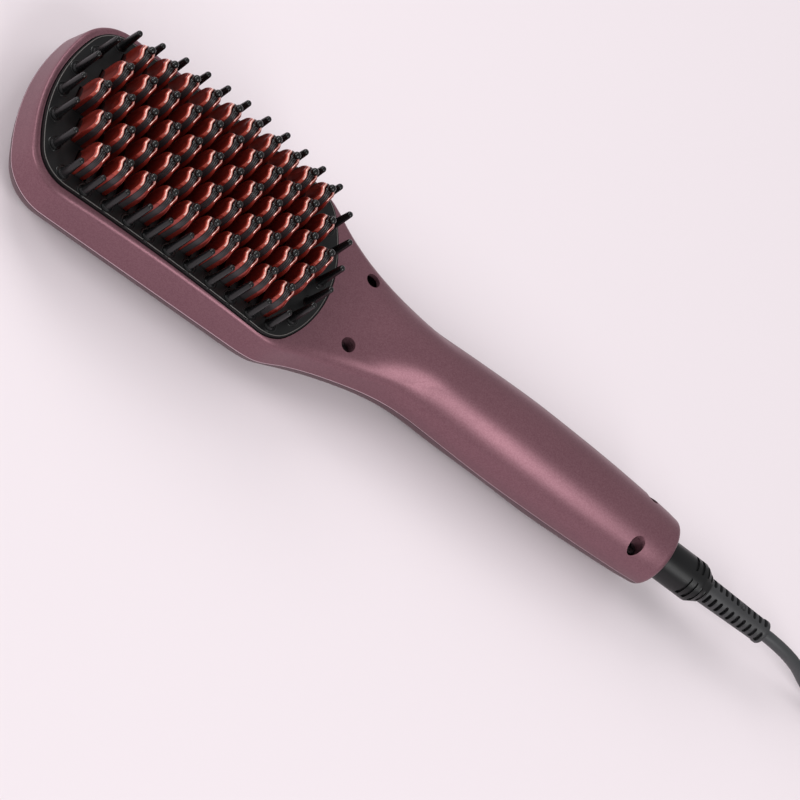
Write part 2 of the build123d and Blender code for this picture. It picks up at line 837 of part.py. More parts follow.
with BuildPart() as ptc_heaters:
    with Locations((heater_x, 0, plate_bottom), (-heater_x, 0, plate_bottom)):
        Box(
            heater_length,
            heater_width,
            heater_thickness,
            align=(Align.CENTER, Align.CENTER, Align.MAX),
        )
    fillet(ptc_heaters.edges().filter_by(Axis.Z), 1.0)
write(ptc_heaters.part, "ptc_heaters")

with BuildPart() as mica_sheet:
    with BuildSketch(Plane.XY.offset(clamp_top)):
        mica_length = 2 * heater_x + heater_length + 2 * mica_margin
        RectangleRounded(mica_length, heater_width + 2 * mica_margin, 2 * mica_margin)
    extrude(amount=mica_thickness)
write(mica_sheet.part, "mica_sheet")

with BuildPart() as heater_clamp:
    with BuildSketch(Plane.XY.offset(clamp_bottom)) as clamp_sketch:
        Rectangle(2 * pillar_x, heater_width - 2 * mica_margin)
        with Locations((pillar_x, 0), (-pillar_x, 0)):
            Rectangle(clamp_arm_width, 2 * pillar_y)
        fillet(clamp_sketch.vertices(), 1.5)
        with Locations(*pillar_points):
            Circle(clamp_arm_width / 2)
        with Locations((heater_x / 1.3, 0), (-heater_x / 1.3, 0)):
            SlotOverall(heater_length / 1.6, heater_width / 2.5, mode=Mode.SUBTRACT)
    extrude(amount=clamp_thickness)
    add(post(pillar_points, clamp_boss_radius, clamp_bottom, plate_bottom))
    clamp_hole = heater_screw_radius + hole_gap
    add(post(pillar_points, clamp_hole, clamp_bottom - 1, plate_bottom + 1), mode=Mode.SUBTRACT)
write(heater_clamp.part, "heater_clamp")

heater_screws = screw(pillar_points, clamp_bottom, *heater_head, plate_top + 2.5)
write(heater_screws, "heater_screws")

with BuildPart() as thermal_fuse:
    with Locations((0, -sensor_y, plate_bottom - fuse_radius)):
        Cylinder(fuse_radius, fuse_length, rotation=(90, 0, 0))
    chamfer(thermal_fuse.edges(), 0.4)
write(thermal_fuse.part, "thermal_fuse")

with BuildPart() as temperature_sensor:
    with Locations((0, sensor_y, plate_bottom - fuse_radius / 2)):
        Box(1.8 * fuse_radius, 2.4 * fuse_radius, fuse_radius)
    chamfer(temperature_sensor.edges().filter_by(Axis.Y), 0.4)
write(temperature_sensor.part, "temperature_sensor")

with BuildPart() as heat_shield:
    with BuildSketch(Plane.XY.offset(shield_height)):
        RectangleRounded(shield_length, shield_width, plate_corner)
        with Locations(*shield_points):
            Circle(0.5 * shield_post_radius + 0.1, mode=Mode.SUBTRACT)
    extrude(amount=shield_thickness)
write(heat_shield.part, "heat_shield")

# ---- Casing screws --------------------------------------------------------------------------------
casing_head = (casing_screw_head, casing_screw_head_height, casing_screw_radius)
write(screw(neck_screw_points, neck_recess_floor, *casing_head, casing_screw_end), "neck_screws")
write(screw(end_screw_points, end_recess_floor, *casing_head, casing_screw_end), "end_screws")

# ---- Display, buttons and boards -------------------------------------------------------------------
with BuildPart() as display_window:
    with BuildSketch(Plane.XY.offset(window_height)):
        with Locations((display_x, 0)):
            RectangleRounded(
                display_length - 2 * window_gap,
                display_width - 2 * window_gap,
                display_corner - window_gap,
            )
    extrude(amount=window_thickness)
write(display_window.part, "display_window")

with BuildPart() as display_module:
    with BuildSketch(Plane.XY.offset(module_foot)):
        with Locations((display_x, 0)):
            Rectangle(
                display_length - 2 * module_margin, display_width - 2 * module_margin
            )
    extrude(amount=display_board_height - module_foot)
    chamfer(display_module.edges().filter_by(Axis.Z), 0.5)
write(display_module.part, "display_module")

switch_foot = display_board_height - switch_height
plunger_foot = switch_foot - 0.9
for name, x in button_x.items():
    face = back_floor - shell_wall - button_proud
    flange_foot = back_floor + button_gap
    with BuildPart() as button:
        add(post([(x, 0)], button_radius[name], face, flange_foot))
        fillet(button.edges().group_by(Axis.Z)[0], 0.6)
        flange_radius = button_radius[name] + button_flange
        add(post([(x, 0)], flange_radius, flange_foot, flange_foot + button_flange_height))
        add(post([(x, 0)], plunger_radius, flange_foot, plunger_foot))
    write(button.part, f"{name}_button")
    plunger = post([(x, 0)], plunger_radius, plunger_foot, plunger_foot + plunger_length)
    write(plunger, f"{name}_plunger")

with BuildPart() as switch_bodies:
    switch_places = [(x, 0) for x in button_x.values()]
    with BuildSketch(Plane.XY.offset(switch_foot)):
        with Locations(*switch_places):
            Rectangle(switch_size, switch_size)
    extrude(amount=switch_height)
    chamfer(switch_bodies.edges().filter_by(Axis.Z), 0.4)
    bore_top = plunger_foot + plunger_length + button_travel + 0.3
    bore = post(switch_places, plunger_radius + plunger_gap, switch_foot - 1, bore_top)
    add(bore, mode=Mode.SUBTRACT)
write(switch_bodies.part, "switch_bodies")


def board(start, end, width, height, posts):
    """Printed circuit board on four posts."""
    with BuildPart() as plate:
        with BuildSketch(Plane.XY.offset(height)):
            with Locations(((start + end) / 2, 0)):
                RectangleRounded(end - start, width, 1.0)
            with Locations(*posts):
                Circle(board_screw_radius + hole_gap, mode=Mode.SUBTRACT)
        extrude(amount=board_thickness)
    return plate.part


display_board = board(
    display_board_start,
    display_board_end,
    display_board_width,
    display_board_height,
    display_post_points,
)
write(display_board, "display_board")
control_board = board(
    control_board_start,
    control_board_end,
    control_board_width,
    control_board_height,
    control_post_points,
)
write(control_board, "control_board")

board_head = (board_screw_head, board_screw_head_height, board_screw_radius)
display_top = display_board_height + board_thickness
control_top = control_board_height + board_thickness
with BuildPart() as board_screws:
    add(screw(display_post_points, display_top, *board_head, display_top - 5.5))
    add(screw(control_post_points, control_top, *board_head, control_top - 4.0))
write(board_screws.part, "board_screws")

with BuildPart() as filter_capacitor:
    with Locations((control_board_start + 15.0, 0, control_top + 5.5)):
        Box(17.5, 8.0, 11.0)
    fillet(filter_capacitor.edges().filter_by(Axis.Z), 1.0)
write(filter_capacitor.part, "filter_capacitor")

with BuildPart() as triac:
    with Locations((control_board_start + 29.0, 0, control_top)):
        Box(2.0, 9.0, 3.0, align=(Align.CENTER, Align.CENTER, Align.MIN))
    with Locations((control_board_start + 29.0, 0, control_top + 3.0)):
        Box(4.5, 10.0, 9.0, align=(Align.CENTER, Align.CENTER, Align.MIN))
    with Locations((control_board_start + 28.0, 0, control_top + 12.0)):
        Box(1.3, 10.0, 5.0, align=(Align.CENTER, Align.CENTER, Align.MIN))
write(triac.part, "triac")

with BuildPart() as control_chip:
    with Locations((control_board_start + 37.5, 0, control_top)):
        Box(6.0, 9.0, 1.6, align=(Align.CENTER, Align.CENTER, Align.MIN))
    chamfer(control_chip.edges().group_by(Axis.Z)[-1], 0.3)
write(control_chip.part, "control_chip")

# ---- Swivel and strain relief -----------------------------------------------------------------------
barrel = turned(
    [
        (spindle_start_x, spindle_bore),
        (spindle_start_x, spindle_radius),
        (clip_x - clip_thickness / 2 - bearing_gap, spindle_radius),
        (clip_x - clip_thickness / 2 - bearing_gap, clip_groove_radius),
        (clip_x + clip_thickness / 2 + bearing_gap, clip_groove_radius),
        (clip_x + clip_thickness / 2 + bearing_gap, spindle_radius),
        (barrel_flange_x, spindle_radius),
        (barrel_flange_x, barrel_flange_radius),
        (barrel_flange_x + barrel_flange, barrel_flange_radius),
        (barrel_flange_x + barrel_flange, barrel_radius),
        (barrel_end_x - 1.0, barrel_radius),
        (barrel_end_x, barrel_radius - 0.5),
        (shoulder_end_x, sleeve_root_radius + 0.5),
        (shoulder_end_x, sleeve_plug_radius + bearing_gap),
        (shoulder_end_x - sleeve_plug_length, sleeve_plug_radius + bearing_gap),
        (shoulder_end_x - sleeve_plug_length, spindle_bore),
    ]
)
write(barrel, "swivel_barrel")

bush = turned(
    [
        (bush_start_x, spindle_radius + bearing_gap),
        (bush_start_x, bush_flange_radius),
        (bush_start_x + bush_flange, bush_flange_radius),
        (bush_start_x + bush_flange, bush_radius),
        (bush_end_x - bush_flange, bush_radius),
        (bush_end_x - bush_flange, bush_flange_radius),
        (bush_end_x, bush_flange_radius),
        (bush_end_x, spindle_radius + bearing_gap),
    ]
)
write(bush, "swivel_bush")

with BuildPart() as slip_rings:
    for x in ring_centres:
        low = spindle_radius + ring_seat
        high = low + ring_thickness
        add(
            turned(
                [
                    (x - ring_width / 2, low),
                    (x - ring_width / 2, high),
                    (x + ring_width / 2, high),
                    (x + ring_width / 2, low),
                ]
            )
        )
write(slip_rings.part, "slip_rings")

with BuildPart() as swivel_clip:
    with BuildSketch(Plane.YZ.offset(clip_x - clip_thickness / 2)):
        with Locations((0, axis_height)):
            Circle(clip_radius)
            Circle(clip_groove_radius + bearing_gap, mode=Mode.SUBTRACT)
        with Locations((0, axis_height - clip_radius)):
            Rectangle(1.5 * clip_groove_radius, 2 * clip_radius, mode=Mode.SUBTRACT)
    extrude(amount=clip_thickness)
write(swivel_clip.part, "swivel_clip")

with BuildPart() as contact_springs:
    spring_top = axis_height - spindle_radius - ring_seat - ring_thickness - spring_gap
    for side, ring_x in ((1, ring_centres[0]), (-1, ring_centres[1])):
        foot_x = control_board_end - 5.0
        with BuildSketch(Plane.XZ.offset(-side * (0.6 + spring_width / 2))):
            with BuildLine():
                Polyline(
                    (foot_x, control_top),
                    (foot_x + 3.4, control_top),
                    (foot_x + 4.2, spring_top - spring_thickness),
                    (ring_x + ring_width / 2, spring_top - spring_thickness),
                    (ring_x + ring_width / 2, spring_top),
                    (foot_x + 3.9, spring_top),
                    (foot_x + 3.1, control_top + spring_thickness),
                    (foot_x, control_top + spring_thickness),
                    close=True,
                )
            make_face()
        extrude(amount=spring_width / 2, both=True)
write(contact_springs.part, "contact_springs")

sleeve_blank = turned(
    [
        (shoulder_end_x - sleeve_plug_length, 0),
        (shoulder_end_x - sleeve_plug_length, sleeve_plug_radius),
        (shoulder_end_x, sleeve_plug_radius),
        (shoulder_end_x, sleeve_root_radius),
        (sleeve_end_x - sleeve_bead_length, sleeve_tip_radius),
        (sleeve_end_x - sleeve_bead_length, sleeve_tip_radius + sleeve_bead),
        (sleeve_end_x, sleeve_tip_radius + sleeve_bead),
        (sleeve_end_x, 0),
    ]
)
with BuildPart() as strain_relief:
    add(sleeve_blank)
    for row, angle in enumerate(range(0, 360, 90)):
        first = slot_start_x + (row % 2) * slot_pitch / 2
        outwards = (0, sin(radians(angle)), cos(radians(angle)))
        plane = Plane((0, 0, axis_height), x_dir=(1, 0, 0), z_dir=outwards)
        with BuildSketch(plane.offset(sleeve_tip_radius - slot_depth)):
            with Locations(*[(first + place * slot_pitch, 0) for place in range(slot_count - row % 2)]):
                Rectangle(slot_width, 2 * slot_half_length)
        extrude(amount=slot_depth + 1, mode=Mode.SUBTRACT)
write(strain_relief.part, "strain_relief")

# ---- Wires, cord and plug -----------------------------------------------------------------------------
with BuildPart() as lead_wires:
    for side in (1, -1):
        path_points = [
            (heater_x + heater_length / 2 + wire_slant, side * 6.0, plate_bottom - 2.0),
            (72.0, side * 7.5, plate_bottom - 2.0),
            (84.0, side * 10.4, 14.0),
            (131.0, side * 10.4, 14.0),
            (control_board_start + wire_landing, side * 8.0, 13.6),
            (control_board_start + wire_landing, side * 8.0, control_top),
        ]
        with BuildLine(mode=Mode.PRIVATE) as route:
            FilletPolyline(*path_points, radius=2.0)
        with BuildSketch(Plane(route.wire() @ 0, z_dir=route.wire() % 0)):
            RegularPolygon(0.8, 6)
        sweep(path=route.wire())
write(lead_wires.part, "lead_wires")


def turn_at(before, corner, after):
    """Turn of a route at a corner, in radians."""
    return radians((Vector(*corner) - Vector(*before)).get_angle(Vector(*after) - Vector(*corner)))


def arc_radii(points):
    """Largest tangent arc at each corner that leaves its two runs a tenth to spare."""
    radii = []
    for before, corner, after in zip(points, points[1:], points[2:]):
        runs = [(Vector(*b) - Vector(*a)).length for a, b in ((before, corner), (corner, after))]
        radii.append(0.45 * min(runs) / tan(turn_at(before, corner, after) / 2))
    return radii


cord_points = [(sleeve_end_x, 0.0, axis_height)] + cord_route
cord_radii = arc_radii(cord_points)
print("cord arc radii", [round(radius, 1) for radius in cord_radii])
with BuildPart() as cord_tube:
    with BuildLine(mode=Mode.PRIVATE) as cord_line:
        FilletPolyline(*cord_points, radius=cord_radii)
    with BuildSketch(Plane(cord_line.wire() @ 0, z_dir=cord_line.wire() % 0)):
        Circle(cord_radius)
    sweep(path=cord_line.wire())
tube_length = cord_line.wire().length
print("cord tube volume", cord_tube.part.volume, "section by length", pi * cord_radius**2 * tube_length)
write(cord_tube.part, "cord_tube")

coil_pitch = 2 * cord_radius
coil_foot = cord_rest - cord_radius
with BuildPart() as cord_coil:
    with BuildSketch(Plane.XY.offset(coil_foot)):
        with Locations(coil_centre):
            Circle(coil_mean_radius + coil_columns * coil_pitch / 2)
            Circle(coil_mean_radius - coil_columns * coil_pitch / 2, mode=Mode.SUBTRACT)
    extrude(amount=coil_layers * coil_pitch)
    chamfer(cord_coil.edges(), 0.6 * cord_radius)
write(cord_coil.part, "cord_coil")

plug_foot = coil_foot + coil_layers * coil_pitch
plug_axis = plug_foot + plug_body_height / 2
plug_start = coil_centre[0] - plug_body_length / 2
plug_pin_places = [(coil_centre[1] + side * plug_pin_spacing / 2, plug_axis) for side in (1, -1)]
with BuildPart() as plug_body:
    with BuildSketch(Plane.YZ.offset(plug_start)) as plug_face:
        with Locations((coil_centre[1], plug_axis)):
            RectangleRounded(plug_body_width, plug_body_height, plug_corner)
    extrude(amount=plug_body_length)
    with BuildSketch(Plane.YZ.offset(plug_start)):
        with Locations((coil_centre[1], plug_axis)):
            Circle(plug_neck_radius + 1.2)
    with BuildSketch(Plane.YZ.offset(plug_start - plug_neck_length)):
        with Locations((coil_centre[1], plug_axis)):
            Circle(plug_neck_radius - 0.8)
    loft()
    with BuildSketch(Plane.YZ.offset(plug_start + plug_body_length)):
        with Locations(*plug_pin_places):
            Circle(plug_pin_root_radius + bearing_gap)
    extrude(amount=-plug_pin_root, mode=Mode.SUBTRACT)
write(plug_body.part, "plug_body")

with BuildPart() as plug_pins:
    plug_end = plug_start + plug_body_length
    for start, end, radius in (
        (plug_end - plug_pin_root, plug_end + plug_pin_neck, plug_pin_root_radius),
        (plug_end + plug_pin_neck, plug_end + plug_pin_length, plug_pin_radius),
    ):
        with BuildSketch(Plane.YZ.offset(start)):
            with Locations(*plug_pin_places):
                Circle(radius)
        extrude(amount=end - start)
    chamfer(plug_pins.edges().group_by(Axis.X)[-1], plug_pin_chamfer)
write(plug_pins.part, "plug_pins")
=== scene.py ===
"""Dresses the heated hair straightener brush: finer shells, bristles, fins, swivel and cord.

Lengths are in millimetres inside the classes and become metres when a mesh is made.
Frame: +X from the head to the handle's end, +Y across, +Z out of the bristle face.
"""
import json
import logging
from dataclasses import dataclass, field
from enum import Enum, IntEnum
from math import acos, asin, atan2, cos, degrees, hypot, pi, radians, sin, sqrt, tan
from typing import Iterable, Sequence

import bmesh
import bpy
import numpy as np
from mathutils import Matrix, Vector


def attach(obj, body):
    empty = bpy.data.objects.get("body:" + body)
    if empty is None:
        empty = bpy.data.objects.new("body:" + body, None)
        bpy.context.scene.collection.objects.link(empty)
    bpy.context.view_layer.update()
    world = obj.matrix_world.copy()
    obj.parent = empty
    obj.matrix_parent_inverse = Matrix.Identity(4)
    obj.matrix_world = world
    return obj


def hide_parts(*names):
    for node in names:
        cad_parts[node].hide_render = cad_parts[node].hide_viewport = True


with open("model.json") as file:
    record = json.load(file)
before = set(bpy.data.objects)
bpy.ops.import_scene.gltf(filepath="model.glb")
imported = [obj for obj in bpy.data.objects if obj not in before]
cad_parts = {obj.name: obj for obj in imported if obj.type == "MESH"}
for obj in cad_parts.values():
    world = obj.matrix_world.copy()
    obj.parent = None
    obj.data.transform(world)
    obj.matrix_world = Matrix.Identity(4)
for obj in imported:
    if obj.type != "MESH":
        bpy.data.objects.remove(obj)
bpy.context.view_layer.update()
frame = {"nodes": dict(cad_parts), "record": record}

logging.basicConfig(level=logging.INFO, format="%(levelname)s %(message)s")
LOG = logging.getLogger("brush")

MM = 0.001
Point = tuple[float, float, float]
Plan = tuple[float, float]
Face = tuple[int, ...]
Colour = tuple[float, float, float]
Thing = bpy.types.Object

AXIS = 16.1  # height of the handle's and swivel's axis
CROWN_RADIUS = 640.0  # lengthwise crown of rim and guard plate
GUARD_TOP = 26.6  # top of the guard plate over the middle of the head
FIELD_REACH = (46.0, 20.0)  # half length and half width that the droops refer to


# ---- Small tools ---------------------------------------------------------------------
def linear(red: int, green: int, blue: int) -> Colour:
    """Turns an 8-bit display colour into the linear colour that shaders take."""
    shares = [level / 255 for level in (red, green, blue)]
    return tuple(s / 12.92 if s <= 0.04045 else ((s + 0.055) / 1.055) ** 2.4 for s in shares)


def monotone(knots: Sequence[float], values: np.ndarray, places: np.ndarray) -> np.ndarray:
    """Smooth interpolation that never overshoots its knots.

    Args:
        knots: rising positions of the known values.
        values: one row of known values per knot.
        places: positions to evaluate.

    Returns:
        One row of values per place.
    """
    x = np.asarray(knots, float)
    y = np.asarray(values, float).reshape(len(x), -1)
    step = np.diff(x)[:, None]
    slope = np.diff(y, axis=0) / step
    tangent = np.zeros_like(y)
    before, after = slope[:-1], slope[1:]
    same = before * after > 0
    w1 = 2 * step[1:] + step[:-1]
    w2 = step[1:] + 2 * step[:-1]
    safe_before = np.where(same, before, 1)
    safe_after = np.where(same, after, 1)
    tangent[1:-1] = np.where(same, (w1 + w2) / (w1 / safe_before + w2 / safe_after), 0)
    tangent[0], tangent[-1] = slope[0], slope[-1]
    cell = np.clip(np.searchsorted(x, places, side="right") - 1, 0, len(x) - 2)
    t = ((np.asarray(places) - x[cell]) / step[cell, 0])[:, None]
    h = step[cell]
    return (
        (2 * t**3 - 3 * t**2 + 1) * y[cell]
        + (t**3 - 2 * t**2 + t) * h * tangent[cell]
        + (3 * t**2 - 2 * t**3) * y[cell + 1]
        + (t**3 - t**2) * h * tangent[cell + 1]
    )


def conic(start: np.ndarray, corner: np.ndarray, end: np.ndarray, count: int) -> np.ndarray:
    """Round corner between two tangent points, as a circular conic.

    Args:
        start: tangent point on the first side.
        corner: where the two sides would meet.
        end: tangent point on the second side.
        count: number of points, ends included.

    Returns:
        The points of the rounding.
    """
    first = corner - start
    second = end - corner
    turn = np.dot(first, second) / (np.linalg.norm(first) * np.linalg.norm(second))
    weight = cos(acos(max(-1.0, min(1.0, turn))) / 2)
    t = np.linspace(0, 1, count)[:, None]
    a, b, c = (1 - t) ** 2, 2 * weight * t * (1 - t), t**2
    return (a * start + b * corner + c * end) / (a + b + c)


class Shapes:
    """Makes Blender meshes from points in millimetres."""

    @staticmethod
    def from_points(name: str, points: Iterable, faces: Iterable, sharp: float = 40) -> Thing:
        """Makes a mesh object with smooth faces and sharp creases.

        Args:
            name: object name.
            points: vertices in millimetres.
            faces: vertex indices of each face.
            sharp: crease angle in degrees.

        Returns:
            The new object.
        """
        mesh = bpy.data.meshes.new(name)
        metres = [tuple(MM * float(c) for c in p) for p in points]
        mesh.from_pydata(metres, [], [tuple(f) for f in faces])
        mesh.update()
        thing = bpy.data.objects.new(name, mesh)
        bpy.context.scene.collection.objects.link(thing)
        Shapes.weld(thing, 1e-6)
        Shapes.smooth(thing, sharp)
        return thing

    @staticmethod
    def weld(thing: Thing, distance: float) -> None:
        """Merges doubled vertices and turns the faces outwards."""
        work = bmesh.new()
        work.from_mesh(thing.data)
        bmesh.ops.remove_doubles(work, verts=work.verts, dist=distance)
        bmesh.ops.recalc_face_normals(work, faces=work.faces)
        work.to_mesh(thing.data)
        work.free()

    @staticmethod
    def smooth(thing: Thing, sharp: float) -> None:
        """Shades smooth, with creases above an angle in degrees."""
        thing.data.shade_smooth()
        thing.data.set_sharp_from_angle(angle=radians(sharp))

    @staticmethod
    def apply(thing: Thing) -> None:
        """Turns the object's modifiers into its own mesh."""
        graph = bpy.context.evaluated_depsgraph_get()
        made = bpy.data.meshes.new_from_object(thing.evaluated_get(graph))
        thing.modifiers.clear()
        thing.data = made

    @staticmethod
    def carve(thing: Thing, cutters: Sequence[Thing]) -> None:
        """Cuts the cutters out of a closed mesh and removes them."""
        for cutter in cutters:
            cut = thing.modifiers.new("cut", "BOOLEAN")
            cut.operation = "DIFFERENCE"
            cut.solver = "EXACT"
            cut.object = cutter
            Shapes.apply(thing)
            mesh = cutter.data
            bpy.data.objects.remove(cutter)
            bpy.data.meshes.remove(mesh)

    @staticmethod
    def strips(rings: int, sides: int, closed: bool = False) -> list[Face]:
        """Faces between successive rings of points.

        Args:
            rings: number of rings.
            sides: points in each ring.
            closed: whether the last ring joins the first.

        Returns:
            The faces, ring by ring.
        """
        faces = []
        for ring in range(rings if closed else rings - 1):
            low, high = ring * sides, ((ring + 1) % rings) * sides
            for i in range(sides):
                j = (i + 1) % sides
                faces.append((low + i, low + j, high + j, high + i))
        return faces

    @staticmethod
    def caps(rings: int, sides: int) -> list[Face]:
        """End faces of a row of rings."""
        last = (rings - 1) * sides
        return [tuple(range(sides)), tuple(range(last, last + sides))[::-1]]

    @staticmethod
    def prism(name: str, outline: Sequence[Plan], low: float, high: float) -> Thing:
        """Upright prism over a plan outline."""
        count = len(outline)
        points = [(x, y, z) for z in (low, high) for x, y in outline]
        faces = [face[::-1] for face in Shapes.caps(2, count)] + Shapes.strips(2, count)
        return Shapes.from_points(name, points, faces)

    @staticmethod
    def disc(centre: Plan, radius: float, count: int = 40) -> list[Plan]:
        """Plan outline of a circle."""
        turn = [2 * pi * i / count for i in range(count)]
        return [(centre[0] + radius * cos(a), centre[1] + radius * sin(a)) for a in turn]

    @staticmethod
    def lathe(profile: Sequence[Plan], count: int, closed: bool = False) -> tuple[list, list]:
        """Turned body about the Z axis.

        Args:
            profile: (radius, height) points; a radius of zero closes the end.
            count: sides round the axis.
            closed: whether the profile's last point joins its first.

        Returns:
            Vertices and faces.
        """
        turns = [2 * pi * i / count for i in range(count)]
        points: list[Point] = []
        for radius, height in profile:
            points += [(radius * cos(a), radius * sin(a), height) for a in turns]
        return points, Shapes.strips(len(profile), count, closed)


class Heap:
    """Collects the points and faces of many small forms for one mesh."""

    def __init__(self) -> None:
        """Starts empty."""
        self.points: list[Point] = []
        self.faces: list[Face] = []
        self.places: list[int] = []

    def add(
        self,
        points: Sequence[Point],
        faces: Sequence[Face],
        shift: Point = (0.0, 0.0, 0.0),
        places: Sequence[int] = (),
    ) -> None:
        """Adds one form.

        Args:
            points: its points.
            faces: its faces.
            shift: where its origin goes.
            places: material place of each of its faces.
        """
        start = len(self.points)
        dx, dy, dz = shift
        self.points += [(x + dx, y + dy, z + dz) for x, y, z in points]
        self.faces += [tuple(start + i for i in face) for face in faces]
        self.places += places

    def mesh(self, name: str, sharp: float = 40) -> Thing:
        """Makes one object of all forms."""
        return Shapes.from_points(name, self.points, self.faces, sharp)


# ---- Finishes ------------------------------------------------------------------------
class Effect(Enum):
    """Shader node groups that the finishes share."""

    GRAIN = "surface_grain"
    DRIFT = "colour_drift"
    FLAKE = "metal_flake"


class Effects:
    """Builds each shared shader effect once."""

    BROAD_SHARE = 0.05  # scale of the broad noise against the fine one
    NOISE_MIDDLE = 0.5  # mean of a noise's output

    def __init__(self) -> None:
        """Makes the three node groups."""
        self.groups = {
            Effect.GRAIN: self._grain(),
            Effect.DRIFT: self._drift(),
            Effect.FLAKE: self._flake(),
        }

    @staticmethod
    def _start(effect: Effect, inputs: dict, outputs: dict) -> tuple:
        """Makes an empty group with its sockets.

        Args:
            effect: which effect the group is.
            inputs: socket type and default by input name.
            outputs: socket type by output name.

        Returns:
            The group, its input node and its output node.
        """
        group = bpy.data.node_groups.new(effect.value, "ShaderNodeTree")
        for name, (kind, default) in inputs.items():
            socket = group.interface.new_socket(name, in_out="INPUT", socket_type=kind)
            socket.default_value = default
        for name, kind in outputs.items():
            group.interface.new_socket(name, in_out="OUTPUT", socket_type=kind)
        return group, group.nodes.new("NodeGroupInput"), group.nodes.new("NodeGroupOutput")

    @staticmethod
    def _noise(
        group: bpy.types.NodeTree, scale: bpy.types.NodeSocket, detail: float
    ) -> bpy.types.Node:
        """Adds object-space noise whose scale comes from a socket."""
        place = group.nodes.new("ShaderNodeTexCoord")
        noise = group.nodes.new("ShaderNodeTexNoise")
        noise.inputs["Detail"].default_value = detail
        group.links.new(place.outputs["Object"], noise.inputs["Vector"])
        group.links.new(scale, noise.inputs["Scale"])
        return noise

    def _grain(self) -> bpy.types.NodeTree:
        """Fine moulding grain: roughness that varies, and a height."""
        group, come, go = self._start(
            Effect.GRAIN,
            {
                "Scale": ("NodeSocketFloat", 1500.0),
                "Roughness": ("NodeSocketFloat", 0.4),
                "Spread": ("NodeSocketFloat", 0.1),
            },
            {"Roughness": "NodeSocketFloat", "Height": "NodeSocketFloat"},
        )
        fine = self._noise(group, come.outputs["Scale"], 3.0)
        broad_scale = group.nodes.new("ShaderNodeMath")
        broad_scale.operation = "MULTIPLY"
        broad_scale.inputs[1].default_value = self.BROAD_SHARE
        group.links.new(come.outputs["Scale"], broad_scale.inputs[0])
        broad = self._noise(group, broad_scale.outputs[0], 2.0)
        centred = group.nodes.new("ShaderNodeMath")
        centred.operation = "SUBTRACT"
        centred.inputs[1].default_value = self.NOISE_MIDDLE
        group.links.new(broad.outputs["Fac"], centred.inputs[0])
        rough = group.nodes.new("ShaderNodeMath")
        rough.operation = "MULTIPLY_ADD"
        group.links.new(centred.outputs[0], rough.inputs[0])
        group.links.new(come.outputs["Spread"], rough.inputs[1])
        group.links.new(come.outputs["Roughness"], rough.inputs[2])
        group.links.new(rough.outputs[0], go.inputs["Roughness"])
        group.links.new(fine.outputs["Fac"], go.inputs["Height"])
        return group

    def _drift(self) -> bpy.types.NodeTree:
        """Slow change between two colours over the surface."""
        group, come, go = self._start(
            Effect.DRIFT,
            {
                "Scale": ("NodeSocketFloat", 30.0),
                "First": ("NodeSocketColor", (0.5, 0.5, 0.5, 1)),
                "Second": ("NodeSocketColor", (0.4, 0.4, 0.4, 1)),
            },
            {"Color": "NodeSocketColor"},
        )
        noise = self._noise(group, come.outputs["Scale"], 4.0)
        mix = group.nodes.new("ShaderNodeMix")
        mix.data_type = "RGBA"
        group.links.new(noise.outputs["Fac"], mix.inputs["Factor"])
        group.links.new(come.outputs["First"], mix.inputs["A"])
        group.links.new(come.outputs["Second"], mix.inputs["B"])
        group.links.new(mix.outputs["Result"], go.inputs["Color"])
        return group

    def _flake(self) -> bpy.types.NodeTree:
        """Metallic lacquer: tiny flakes lighten the colour under them."""
        group, come, go = self._start(
            Effect.FLAKE,
            {
                "Scale": ("NodeSocketFloat", 3000.0),
                "Amount": ("NodeSocketFloat", 0.2),
                "Color": ("NodeSocketColor", (0.5, 0.5, 0.5, 1)),
                "Flake": ("NodeSocketColor", (1, 1, 1, 1)),
            },
            {"Color": "NodeSocketColor", "Height": "NodeSocketFloat"},
        )
        place = group.nodes.new("ShaderNodeTexCoord")
        cells = group.nodes.new("ShaderNodeTexVoronoi")
        group.links.new(place.outputs["Object"], cells.inputs["Vector"])
        group.links.new(come.outputs["Scale"], cells.inputs["Scale"])
        split = group.nodes.new("ShaderNodeSeparateColor")
        group.links.new(cells.outputs["Color"], split.inputs[0])
        share = group.nodes.new("ShaderNodeMath")
        share.operation = "MULTIPLY"
        group.links.new(split.outputs[0], share.inputs[0])
        group.links.new(come.outputs["Amount"], share.inputs[1])
        mix = group.nodes.new("ShaderNodeMix")
        mix.data_type = "RGBA"
        group.links.new(share.outputs[0], mix.inputs["Factor"])
        group.links.new(come.outputs["Color"], mix.inputs["A"])
        group.links.new(come.outputs["Flake"], mix.inputs["B"])
        group.links.new(mix.outputs["Result"], go.inputs["Color"])
        group.links.new(split.outputs[1], go.inputs["Height"])
        return group


